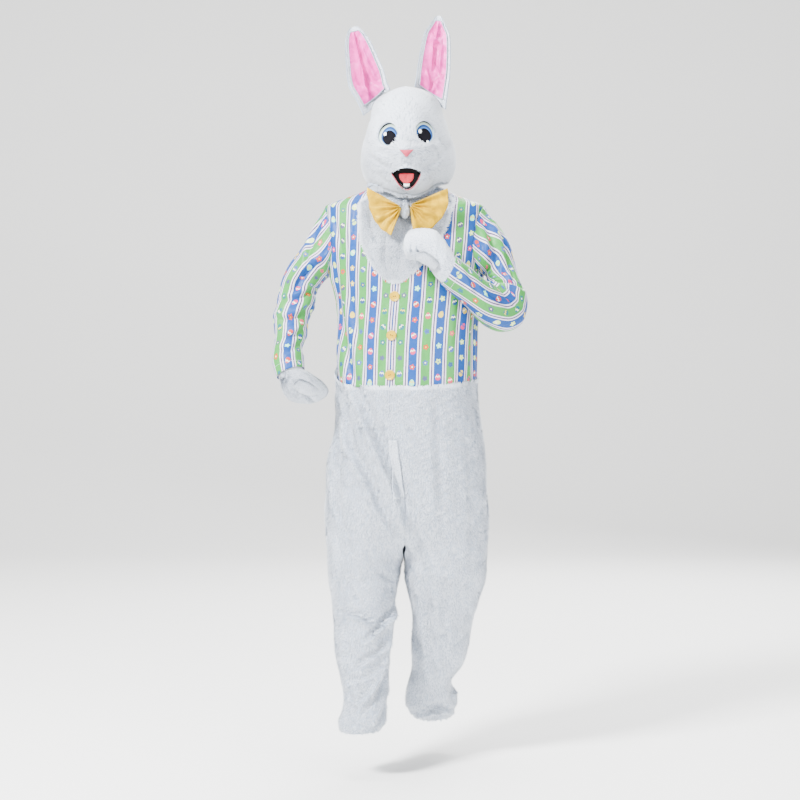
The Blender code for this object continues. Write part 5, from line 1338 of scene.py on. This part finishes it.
def facePlace(x, z):  # front of the head over a place x, z, and its outward direction
    def depth(x, z):
        y = np.full(np.shape(x), -0.14)
        for _ in range(12):
            way = rolled(np.stack(np.broadcast_arrays(x, y, z), -1) - headMiddle, -head["roll"])
            sideways = np.degrees(np.arctan2(way[..., 0], -way[..., 1]))
            lift = np.degrees(np.arctan2(way[..., 2], np.hypot(way[..., 0], way[..., 1])))
            rest = headReach(sideways, lift) ** 2 - (x - headMiddle[0]) ** 2 - (z - headMiddle[2]) ** 2
            y = 0.5 * y + 0.5 * (headMiddle[1] - np.sqrt(np.maximum(rest, 1e-4)))
        return y

    y = depth(x, z)
    leanX = (depth(x + 0.002, z) - depth(x - 0.002, z)) / 0.004
    leanZ = (depth(x, z + 0.002) - depth(x, z - 0.002)) / 0.004
    return np.stack(np.broadcast_arrays(x, y, z), -1), unit(np.stack([leanX, -np.ones_like(y), leanZ], -1))


def smoothLoop(corners, count):  # closed rounded line through the corners
    corners = np.asarray(corners, float)
    runs = np.linspace(0, len(corners), count, endpoint=False)
    k = np.floor(runs).astype(int)
    t = (runs - k)[:, None]
    n = len(corners)
    a, b, c, d = (corners[(k + s) % n] for s in (-1, 0, 1, 2))
    return 0.5 * (2 * b + (c - a) * t + (2 * a - 5 * b + 4 * c - d) * t**2 + (3 * b - a - 3 * c + d) * t**3)


def insideLoop(loop, x, z):  # which places lie inside a closed line
    found = np.zeros(np.shape(x), bool)
    for (x0, z0), (x1, z1) in zip(loop, np.roll(loop, -1, axis=0)):
        crosses = (z0 > z) != (z1 > z)
        at = x0 + (z - z0) / (z1 - z0 if z1 != z0 else 1e-12) * (x1 - x0)
        found ^= crosses & (x < at)
    return found


mouthCorners = np.array(face["mouth"])
mouthDown = (mouthCorners[:, 1] - 169.0) / (189.9 - 169.0)
mouthDepth = face["mouthTopDepth"] + (face["mouthLowDepth"] - face["mouthTopDepth"]) * mouthDown
mouthLoop = smoothLoop(truePlace(mouthCorners[:, 0], mouthCorners[:, 1], mouthDepth)[:, (0, 2)], 96)
turns = np.linspace(0, 2 * np.pi, 64, endpoint=False)
eyeLoops = {}
for word, (across, down, halfX, halfZ) in face["eyes"].items():
    edge = truePlace(across + halfX * np.cos(turns), down - halfZ * np.sin(turns), face["eyeDepth"])
    eyeLoops[word] = edge[:, (0, 2)]


def headGrid(facing, across, along):
    p = np.linspace(-1, 1, across)[None, :]
    q = np.linspace(0, 1, along)[:, None]
    x = (1 - q) * 0.5 * p + q * np.sin(p * np.pi / 2)
    y = -q * np.cos(p * np.pi / 2) * facing
    x, y = np.broadcast_arrays(x, y)
    points = headSurface(x, y)
    step = 0.004
    sideways = headSurface(x + step, y) - headSurface(x - step, y)
    out = unit(np.cross(sideways, headSurface(x, y + step) - headSurface(x, y - step)))
    out = out * np.where(np.sum(out * (points - headMiddle), -1, keepdims=True) > 0, 1.0, -1.0)
    return dressed(points, out, head["creases"] if facing > 0 else (), (), head["slack"], 80)


def faceComb(root):  # the pile lies away from the nose and the mouth, and down
    away = unit(root - np.array((0.0, -0.15, 0.127))) + np.array((0.0, 0.0, -0.25))
    mouth = root[:, (0, 2)] - mouthLoop.mean(axis=0)
    far = np.linalg.norm(mouth, axis=1)
    pull = 3.0 * np.exp(-((far / 0.034) ** 4)) / np.maximum(far, 1e-4)
    away[:, 0] = away[:, 0] + mouth[:, 0] * pull
    away[:, 2] = away[:, 2] + mouth[:, 1] * pull
    return unit(away)


for facing, word, node in ((1, "Front", "head_front"), (-1, "Back", "head_back")):
    form = headGrid(facing, *head["grid" + word])
    out = outward(form, gridNormals(form), headMiddle)
    keep = None
    if facing > 0:
        centre = (form[:-1, :-1] + form[1:, 1:]) / 2
        keep = np.ones(centre.shape[:2], bool)
        for loop in (mouthLoop, *eyeLoops.values()):
            # draw the nearest corners of the grid onto the opening's edge, for a clean rim
            inside = insideLoop(loop, centre[..., 0], centre[..., 2]) & (centre[..., 1] < -0.05)
            keep &= ~inside
            near = np.zeros(form.shape[:2], bool)
            for r, c in ((0, 0), (0, 1), (1, 0), (1, 1)):
                near[r:r + inside.shape[0], c:c + inside.shape[1]] |= inside
            solid = np.zeros(form.shape[:2], bool)
            for r, c in ((0, 0), (0, 1), (1, 0), (1, 1)):
                solid[r:r + inside.shape[0], c:c + inside.shape[1]] |= ~inside
            rim = near & solid
            gap = np.linalg.norm(form[rim][:, None, (0, 2)] - loop[None], axis=-1)
            target = loop[np.argmin(gap, axis=1)]
            moved = form[rim]
            moved[:, 0], moved[:, 2] = target[:, 0], target[:, 1]
            form[rim] = moved
    pile = head["pileFront" if facing > 0 else "pileBack"]
    comb = faceComb if facing > 0 else None
    centre = (form[:-1, :-1] + form[1:, 1:]) / 2
    jaw = centre[..., 2] < head["fringeBelow"]
    if facing > 0:
        fromMouth = np.linalg.norm(centre[..., None, (0, 2)] - mouthLoop, axis=-1).min(axis=-1)
        jaw &= keep & (fromMouth > head["bareLip"])
    edges = (jaw, head["fringe"], (0.0, -0.5 * facing, -1.0))
    plushPiece(
        "head" + word, node, form, out, pile, 90 + facing, "stretched", keep=keep, comb=comb,
        edges=edges
    )
print("head covered")


def discGrid(x, z, halfX, halfZ, rows, cols):  # rounded patch of places x, z
    u, v = np.meshgrid(np.linspace(-1, 1, cols), np.linspace(-1, 1, rows))
    roundU, roundV = u * np.sqrt(1 - v**2 / 2), v * np.sqrt(1 - u**2 / 2)
    return x + halfX * roundU, z + halfZ * roundV, np.hypot(roundU, roundV)


def ropePiece(name, line, thick, finish, sides=8):  # closed round piping
    ahead = unit(np.roll(line, -1, axis=0) - np.roll(line, 1, axis=0))
    out = unit(np.cross(ahead, np.cross(np.array((0.0, -1.0, 0.0)), ahead)))
    side = np.cross(ahead, out)
    turn = np.linspace(0, 2 * np.pi, sides, endpoint=False)
    points = line[:, None] + (
        np.cos(turn)[:, None] * out[:, None] + np.sin(turn)[:, None] * side[:, None]
    ) * thick
    count = len(line)
    index = np.arange(count * sides).reshape(count, sides)
    far, beside = np.roll(index, -1, axis=0), np.roll(index, -1, axis=1)
    faces = np.stack([index, beside, np.roll(far, -1, axis=1), far], -1).reshape(-1, 4)
    piece = meshPiece(name, points.reshape(-1, 3), faces, finish)
    return piece


for word, (across, down, halfX, halfZ) in face["eyes"].items():
    x, _, z = truePlace(across, down, face["eyeDepth"])
    gridX, gridZ, _ = discGrid(x, z, halfX * 0.00276 + 0.003, halfZ * 0.00276 + 0.003, 41, 41)
    plate, out = facePlace(gridX, gridZ)
    under = head["wall"] + 0.0035
    cut = np.stack([(gridX - x) * 1000, (gridZ - z) * 1000], -1)
    eye = clothShell("eye" + word, plate - out * under, out, 0.0012, eyeFinish, cut)
    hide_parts("eye_" + word.lower())
    declareCloth(eye, plate)

x, _, z = truePlace(406.2, 179.0, face["mouthTopDepth"])
gridX, gridZ, far = discGrid(x, z + 0.001, 0.045, 0.030, 39, 43)
plate, out = facePlace(gridX, gridZ)
lining = plate - out * (head["wall"] + 0.0049 + 0.013 * (1 - ease(far)))[..., None]
mouthPiece = clothShell("mouthLining", lining, out, 0.0012, small["lining"])
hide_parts("mouth_lining")
declareCloth(mouthPiece, lining)
liningOut = out


def lobePiece(name, node, rows, cols, lift, height, finish):  # padded piece that lies on the lining
    scale = np.array((lining.shape[0] - 1, lining.shape[1] - 1)) / np.array((7, 8))
    skin = between(lining, rows * scale[0], cols * scale[1])
    way = unit(between(liningOut, rows * scale[0], cols * scale[1]))
    v = np.linspace(-1, 1, skin.shape[0])[:, None]
    u = np.linspace(-1, 1, skin.shape[1])[None, :]
    dome = np.sqrt(np.clip((1.03 - u**2) * (1.03 - v**2), 0, 1))[..., None]
    groove = 0.0012 * np.exp(-((u / 0.12) ** 2)) * (v > -0.6) if node == "tongue" else 0 * u
    top = skin + way * (lift + 0.0005 + height * dome)
    top = top - way * np.broadcast_to(groove, skin.shape[:2])[..., None]
    piece = clothShell(name, top, way, 0.0006 + height * 0.3, finish)
    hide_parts(node)


v = np.linspace(0, 1, 31)[:, None]
u = np.linspace(-1, 1, 41)[None, :]
lobePiece(
    "tongueFelt", "tongue", 1.25 + 3.75 * v + 0 * u, 4.0 + 2.1 * u * np.sqrt(1.05 - (1 - v) ** 2.5),
    0.0005, 0.007, small["coral"]
)
v, u = np.linspace(0, 1, 15)[:, None], np.linspace(-1, 1, 25)[None, :]
lobePiece(
    "toothFelt", "tooth", 0.3 + 0.8 * v + 0 * u, 4.05 + 1.0 * u + 0 * v, 0.0005, 0.005, small["tooth"],
)

# Piping round the mouth: black inside, pink along the lower lip
lipPoints, lipOut = facePlace(mouthLoop[:, 0], mouthLoop[:, 1])
ropePiece("mouthPiping", lipPoints - lipOut * 0.0045, face["lip"], small["lining"])
centreLip = mouthLoop.mean(axis=0)
wider = centreLip + (mouthLoop - centreLip) * 1.05 - np.array((0, 0.0012))
lipPoints, lipOut = facePlace(wider[:, 0], wider[:, 1])
lowShare = ease((mouthLoop[:, 1].max() - 0.006 - mouthLoop[:, 1]) / 0.012)[:, None]
ropePiece("lipPiping", lipPoints - lipOut * (0.0085 - 0.0055 * lowShare), 0.0013, small["lip"])

# Nose: a padded triangle, point down
low = truePlace(406.5, 157.2, -0.155)
high = truePlace(np.array((399.5, 414.0)), 150.4, -0.15)
v = np.linspace(0, 1, 33)[:, None]
u = np.linspace(-1, 1, 41)[None, :]
wide = (high[1, 0] - high[0, 0]) / 2 * (0.15 + 0.85 * v)
gridX = (high[:, 0].mean() * v + low[0] * (1 - v)) + wide * u
gridZ = low[2] + (high[:, 2].mean() - low[2]) * v + 0.0012 * v * u**2
nose, out = facePlace(gridX, gridZ)
dome = 0.0005 + 0.0062 * np.sqrt(np.clip((1 - u**2) * (1 - (2 * v - 1) ** 2), 0, 1))[..., None]
nosePiece = clothShell("noseVelvet", nose + out * (0.0004 + dome), out, 0.0012, small["velvet"])
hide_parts("nose")
print("face finished")


# Ears: a plush back whose edge rolls round a crushed satin front

ears = {
    # name: base, tip, base arc from and to, share of the length and half width
    "Right": (
        (373.0, 105.0), (353.8, 29.5), (365.0, 117.0), (389.0, 93.5),
        ((0.00, 0.0430), (0.17, 0.0455), (0.265, 0.0490), (0.377, 0.0483), (0.53, 0.0428),
         (0.68, 0.0370), (0.82, 0.0295), (0.95, 0.0166), (1.00, 0.0060)),
    ),
    "Left": (
        (431.0, 100.0), (438.7, 18.7), (416.0, 91.0), (444.0, 111.0),
        ((0.00, 0.0400), (0.148, 0.0422), (0.289, 0.0425), (0.48, 0.0405), (0.62, 0.0376),
         (0.787, 0.0317), (0.88, 0.0200), (1.00, 0.0050)),
    ),
}
earCloth = {
    "plush": 0.007,
    "satinShare": 0.86,
    # folds of the satin by share of length and width: from, to, height, width
    "folds": {
        "Right": (
            (0.92, -0.25, 0.30, -0.15, 0.0050, 0.14),
            (0.78, 0.05, 0.16, 0.15, -0.0050, 0.13),
            (0.66, 0.38, 0.30, 0.62, 0.0045, 0.12),
            (0.46, -0.10, 0.12, -0.45, 0.0045, 0.12),
            (0.30, 0.10, 0.20, 0.75, -0.0045, 0.10),
            (0.24, -0.70, 0.13, 0.10, 0.0045, 0.12),
            (0.60, -0.05, 0.44, 0.30, 0.0030, 0.08),
            (0.15, -0.25, 0.11, 0.30, -0.0040, 0.10),
            (0.50, -0.65, 0.30, -0.55, -0.0030, 0.10),
            (0.84, 0.25, 0.70, -0.10, 0.0030, 0.07),
        ),
        "Left": (
            (0.93, 0.10, 0.74, -0.15, 0.0045, 0.12),
            (0.74, -0.55, 0.70, 0.50, 0.0060, 0.07),
            (0.70, -0.40, 0.40, -0.20, 0.0045, 0.13),
            (0.68, 0.10, 0.22, 0.00, -0.0045, 0.12),
            (0.62, 0.55, 0.32, 0.45, 0.0045, 0.12),
            (0.42, 0.05, 0.24, 0.65, -0.0045, 0.10),
            (0.26, 0.70, 0.13, 0.15, 0.0050, 0.12),
            (0.30, -0.55, 0.12, -0.15, 0.0045, 0.12),
            (0.18, 0.25, 0.12, 0.55, -0.0040, 0.08),
        ),
    },
    "pile": {
        "count": 14000, "rise": 0.0032, "reach": 0.0055, "width": 0.0017, "tuft": 0.006, "gather": 0.35,
        "swirl": 0.30, "swirlScale": 0.05, "loose": 0.25, "shadeLean": 0.2,
    },
    "edgePile": {
        "count": 5500, "rise": 0.0045, "reach": 0.0050, "width": 0.0014, "tuft": 0.006, "gather": 0.35,
        "swirl": 0.30, "swirlScale": 0.05, "loose": 0.35, "shadeLean": 0.2,
    },
}


def clearOfHead(points, clearance):
    way = rolled(points - headMiddle, -head["roll"])
    sideways = np.degrees(np.arctan2(way[..., 0], -way[..., 1]))
    lift = np.degrees(np.arctan2(way[..., 2], np.hypot(way[..., 0], way[..., 1])))
    length = np.linalg.norm(way, axis=-1)
    push = np.maximum(headReach(sideways, lift) + clearance, length) / length
    return headMiddle + (points - headMiddle) * push[..., None]


def earSurface(ear, s, u):
    (baseX, baseZ), (tipX, tipZ), arcFrom, arcTo, widths = ear
    base, tip = truePlace(baseX, baseZ, 0.0), truePlace(tipX, tipZ, 0.0)
    axis = unit(tip - base)
    side = np.array((axis[2], 0.0, -axis[0]))
    s, u = np.broadcast_arrays(s, u)
    half = readTable(widths, s, 1)
    cup = half * (0.34 + 0.34 * (1 - ease(s / 0.35)))
    y = 0.008 - cup * np.abs(u) ** 2.2 - 0.006 * s
    points = base + (tip - base) * s[..., None] + side * (half * u)[..., None]
    points = points + np.array((0.0, 1.0, 0.0)) * y[..., None]
    share = (u + 1) / 2
    across, down = (arcFrom[k] + (arcTo[k] - arcFrom[k]) * share for k in (0, 1))
    arc = truePlace(across, down, 0.0)
    start = base + side * (half * u)[..., None]
    return points + (arc - start) * (1 - ease(s / 0.3))[..., None]


for word, ear in ears.items():
    s = np.linspace(0, 1, 58)[:, None] ** 0.9
    u = np.linspace(-1, 1, 41)[None, :]
    front = earSurface(ear, s, u)
    out = gridNormals(front)
    out = out * np.where(out[..., 1:2] < 0, 1.0, -1.0)
    # the back's own right side faces behind
    behind = clearOfHead(front - out * (earCloth["plush"] - 0.0004), 0.0010)
    backing = clothShell("earBack" + word, behind + out * 0.0032, -out, -0.0030, plushFinish)
    fibres = growPile(
        f"earBack{word}Pile", behind + out * 0.0032, -out, earCloth["pile"], 100 + len(word), pileFinish,
        comb=(0, 0, 1)
    )
    edge = np.abs(u) + 0 * s
    edgeKeep = (edge[:-1, :-1] > 0.80) | ((s[:-1] + 0 * u[:, :-1]) > 0.93) | ((s[:-1] + 0 * u[:, :-1]) < 0.11)
    frontSkin = clearOfHead(front - out * 0.0030, 0.0012)
    rim = growPile(
        f"earRim{word}Pile", frontSkin, out, earCloth["edgePile"], 110 + len(word), pileFinish,
        keep=edgeKeep, comb=(0, 0, 1)
    )
    lip = clothShell(f"earRim{word}", frontSkin, out, 0.0012, plushFinish, keep=edgeKeep)
    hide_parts("ear_back_" + word.lower())
    declareCloth(backing, front)
    s = np.linspace(0.085, 0.955, 80)[:, None]
    u = np.linspace(-1, 1, 47)[None, :]
    satin = earSurface(ear, s, u * earCloth["satinShare"])
    out = gridNormals(satin)
    out = out * np.where(out[..., 1:2] < 0, 1.0, -1.0)
    lift = np.zeros((80, 47))
    for s0, u0, s1, u1, high, wide in earCloth["folds"][word]:
        ax, az = (s1 - s0) * 2.2, u1 - u0
        t = np.clip(((s - s0) * 2.2 * ax + (u - u0) * az) / (ax**2 + az**2), 0, 1)
        off = np.hypot((s - s0) * 2.2 - t * ax, u - u0 - t * az)
        fade = np.sqrt(np.clip(np.sin(np.pi * (0.1 + 0.8 * t)), 0, 1))
        lift = lift + high * np.exp(-((off / wide) ** 2)) * fade
    pinch = 0.0010 * wander(satin, 120 + len(word), 0.026)
    pinch = pinch + 0.0008 * np.abs(wander(satin, 130 + len(word), 0.016))
    edge = (1 - np.abs(u) ** 8) * ease((s - 0.085) / 0.04) * ease((0.955 - s) / 0.04)
    lift = np.where(lift < 0, lift * 0.45, lift * 2.2)
    satin = satin + out * (0.0030 + (lift + pinch) * edge)[..., None]
    satin = clearOfHead(satin, 0.0014)
    normals = gridNormals(satin)
    normals = normals * np.where(normals[..., 1:2] < 0, 1.0, -1.0)
    cut = np.stack([arcAlong(satin, 1), arcAlong(satin, 0)], -1)
    piece = clothShell("earFront" + word, satin, normals, 0.0010, pinkFinish, cut)
    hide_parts("ear_front_" + word.lower())
    declareCloth(piece, satin)
    border = np.concatenate([satin[:-1, 0], satin[-1], satin[:-1, -1][::-1], satin[0, 1:-1][::-1]])
    ropePiece(f"earPiping{word}", border[::3], 0.0013, plushFinish, 6)
print("ears stuffed")


# Bow: two gathered satin wings and a plush knot

bow = {
    # angle from the wearer's left, reach of the outer edge
    "Right": ((151, 0.1075), (168, 0.0930), (191, 0.0845), (215, 0.0810), (235, 0.0810), (250, 0.0820)),
    "Left": (
        (-84, 0.0650), (-64, 0.0735), (-48, 0.0850), (-28, 0.0890), (-8, 0.0990), (8, 0.1045),
        (24, 0.1100)
    ),
    "gathers": {"Right": (401.6, 207.0), "Left": (410.2, 205.5)},
    "y": -0.144,
    "wall": 0.0012,
    "pleats": 0.0082,
    "grid": (112, 61),
    "knot": {"place": (405.3, 209.5, -0.1325), "size": (0.026, 0.0158, 0.0225)},
    "knotPile": {
        "count": 5000, "rise": 0.0026, "reach": 0.0045, "width": 0.0010, "tuft": 0.005, "gather": 0.4,
        "swirl": 0.4, "swirlScale": 0.03, "loose": 0.35, "shadeLean": 0.2,
    },
}

for word in ("Right", "Left"):
    rows = bow[word]
    first, last = rows[0][0], rows[-1][0]
    fan = np.linspace(first, last, bow["grid"][0])[:, None]
    path = np.linspace(0, 1, bow["grid"][1])[None, :]
    reach = readTable(rows, fan, 1)
    out = 1 - np.abs(2 * path - 1) ** 3
    swing = 2 * path - 1
    phase = (fan - first) / (last - first)
    # pleats start sharp at the gather and open out towards the edge
    wave = np.cos(phase * 9 * np.pi + 0.5 * np.sin(phase * 7))
    sharp = np.sign(wave) * np.abs(wave) ** 0.75
    uneven = 0.75 + 0.25 * np.sin(phase * 21 + 1.0)
    pleat = bow["pleats"] * uneven * (sharp * (1 - out) + 0.7 * wave * out)
    pleat = pleat * np.exp(-0.9 * out) * ease(out / 0.12 + 0.3)
    deep = 0.0025 + 0.0075 * np.sin(np.pi * out / 2)
    soft = 0.0016 * np.sin(phase * 13 + out * 5) * out + 0.0010 * np.sin(phase * 31 - out * 9) * out
    y = bow["y"] + deep * np.sign(swing) * np.abs(swing) ** 0.5 + pleat + soft * (swing < 0)
    length = 0.005 + (reach - 0.005) * out * (1 - 0.012 * (1 + wave) * out)
    start = truePlace(*bow["gathers"][word], bow["y"])
    x = start[0] + length * np.cos(np.radians(fan))
    z = start[2] + length * np.sin(np.radians(fan))
    points = np.stack(np.broadcast_arrays(x, y, z), -1)
    normals = outward(points, gridNormals(points), points.mean(axis=1, keepdims=True))
    cut = np.stack([np.radians(fan - first) * 0.06 + 0 * path, arcAlong(points, 1)], -1)
    wing = clothShell("bowWing" + word, points, normals, bow["wall"], goldFinish, cut)
    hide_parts("bow_wing_" + word.lower())
    declareCloth(wing, points)

lift = np.linspace(0.02, np.pi - 0.02, 34)[:, None]
turn = np.linspace(0, 2 * np.pi, 49)[None, :]
waistIn = 1 - 0.10 * np.sin(lift) ** 8
ruck = 1 + 0.05 * np.sin(turn * 5 + lift * 3) * np.sin(lift) + 0.04 * np.sin(turn * 9 - lift * 4)
girth = np.sin(lift)
local = (girth * np.cos(turn) * waistIn * ruck, girth * np.sin(turn) * waistIn * ruck, -np.cos(lift))
local = np.stack(np.broadcast_arrays(*local), -1)
sizes = bow["knot"]["size"]
knot = truePlace(*bow["knot"]["place"]) + local * np.array((sizes[1], sizes[2], sizes[0])) * 0.98
normals = outward(knot, gridNormals(knot), knot.mean(axis=(0, 1)))
plushPiece("bowKnot", "bow_knot", knot, normals, bow["knotPile"], 140, "padded")
print("bow tied")


# Buttons: moulded, with a rim, a dished middle, two holes and their thread; the holes are black dished discs,
# painted shade

buttons = {
    "heights": (-0.270, -0.3745, -0.481),
    # radius, height over the cloth
    "profile": (
        (0.0001, 0.0), (0.0123, 0.0), (0.0137, 0.0005), (0.0140, 0.0014), (0.0139, 0.0030),
        (0.0132, 0.0038), (0.0122, 0.0040), (0.0114, 0.0038), (0.0106, 0.0030), (0.0096, 0.0027),
        (0.0070, 0.0026), (0.0040, 0.0026), (0.0001, 0.0026),
    ),
    "holeApart": 0.0048,
    "hole": 0.0014,
    "tilts": (8.0, -20.0, 14.0),
    "thread": 0.00045,
}
buttonSides = 65
for number, (height, tilt) in enumerate(zip(buttons["heights"], buttons["tilts"]), 1):
    spot, out = torsoPoint(np.array(0.0), np.array(height)), torsoOut(np.array(0.0), np.array(height))
    across = unit(np.cross((0.0, 0.0, 1.0), out))
    up = np.cross(out, across)
    spot = spot + out * 0.0006
    circle = circleOn(across, up, np.linspace(0, 2 * np.pi, buttonSides))
    points = np.array([spot + out * lift + circle * radius for radius, lift in buttons["profile"]])
    faces = gridFaces(len(points), buttonSides).reshape(-1, 4)
    body = meshPiece(f"button{number}", points.reshape(-1, 3), faces[:, ::-1], small["button"])
    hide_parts(f"button_{number}")
    lean = np.radians(tilt)
    along = np.cos(lean) * across + np.sin(lean) * up
    # each hole is a shallow black disc on the button's face: painted shade in place of the hole
    for sign in (-1, 1):
        middle = spot + out * 0.0027 + along * sign * buttons["holeApart"] / 2
        rim = ((0, 1.0), (-0.5, 0.85), (-0.2, 0.05))
        points = np.array([middle - out * 0.0002 * k + circle * buttons["hole"] * size for k, size in rim])
        faces = gridFaces(len(points), buttonSides).reshape(-1, 4)
        holeShade = meshPiece(
            f"button{number}HoleShade{sign + 2}", points.reshape(-1, 3), faces[:, ::-1], small["lining"]
        )
    t = np.linspace(-1, 1, 15)[:, None]
    arch = spot + out * (0.0031 + 0.0006 * (1 - t**2)) + along * t * buttons["holeApart"] / 2
    section = circleOn(out, np.cross(along, out), np.linspace(0, 2 * np.pi, 9))
    points = arch[:, None] + section * buttons["thread"]
    faces = gridFaces(15, 9).reshape(-1, 4)
    thread = meshPiece(f"button{number}Thread", points.reshape(-1, 3), faces, small["buttonThread"])
print("buttons sewn on")


# Topstitching: the front edge beside the buttons

heights = np.linspace(-0.508, -0.240, 60)
angles = np.full(len(heights), 1.9)
edge = torsoPoint(angles, heights)
edgeOut = torsoOut(angles, heights)
edge = dressed(edge, edgeOut, bodice["creases"], bodice["backCreases"], bodice["soft"], 3)
stitchRun("frontStitches", edge, edgeOut, stitching, small["thread"])
print("topstitching done")


# Floor, light and camera

studio = {"floorHeight": -1.559, "world": "#FFFFFF", "worldStrength": 0.62}
floorFinish, floorTree, floorShader = newFinish("studioPaper", Roughness=0.9, Specular_IOR_Level=0.2)
grain = addNode(floorTree, "TexNoise", {"Scale": 3.0, "Detail": 3.0}).outputs[0]
paper = addNode(floorTree, "ValToRGB", {0: grain}, stops=[(0.3, "#EEEEED"), (0.7, "#F5F5F4")])
floorTree.links.new(paper.outputs[0], floorShader.inputs["Base Color"])
# paper that runs back and curves up behind, with no line at the wall
bend = [(5.0 + 3 * np.sin(t), 3 - 3 * np.cos(t)) for t in np.linspace(0.1, np.pi / 2, 14)]
lines = [(-9.0, 0.0), (5.0, 0.0)] + bend + [(8.0, 9.0)]
points = [(x, y, studio["floorHeight"] + z) for y, z in lines for x in (-12.0, 12.0)]
faces = [(2 * k, 2 * k + 1, 2 * k + 3, 2 * k + 2) for k in range(len(lines) - 1)]
mesh = bpy.data.meshes.new("studioPaper")
mesh.from_pydata(points, [], faces)
mesh.materials.append(floorFinish)
mesh.shade_smooth()
paperFloor = bpy.data.objects.new("studioPaper", mesh)
bpy.context.scene.collection.objects.link(paperFloor)

world = bpy.data.worlds.new("softStudio")
world.use_nodes = True
world.node_tree.nodes["Background"].inputs[0].default_value = linearColour(studio["world"])
world.node_tree.nodes["Background"].inputs[1].default_value = studio["worldStrength"]
bpy.context.scene.world = world
lamps = (
    # name, place, size, watts
    ("keyLight", (-3.4, -3.4, 3.0), 1.2, 1500.0),
    ("fillLight", (3.0, -4.4, 0.4), 3.0, 340.0),
    ("topLight", (0.0, 0.4, 3.6), 3.0, 420.0),
    ("backLight", (1.5, 4.0, 1.6), 3.0, 320.0),
)
for name, place, size, watts in lamps:
    lamp = bpy.data.lights.new(name, "AREA")
    lamp.size = size
    lamp.energy = watts
    holder = bpy.data.objects.new(name, lamp)
    holder.location = place
    holder.rotation_euler = (Vector((0.0, 0.0, -0.5)) - Vector(place)).to_track_quat("-Z", "Y").to_euler()
    bpy.context.scene.collection.objects.link(holder)

view = {"eye": (-0.019, -5.0, -0.41), "aim": (-0.019, 0.0, -0.552), "lens": 81.5}
camera = bpy.data.cameras.new("photoCamera")
camera.sensor_width = 36.0
camera.lens = view["lens"]
holder = bpy.data.objects.new("photoCamera", camera)
holder.location = view["eye"]
holder.rotation_euler = (Vector(view["aim"]) - Vector(view["eye"])).to_track_quat("-Z", "Y").to_euler()
bpy.context.scene.collection.objects.link(holder)
bpy.context.scene.camera = holder
print("studio set")

bpy.context.view_layer.update()
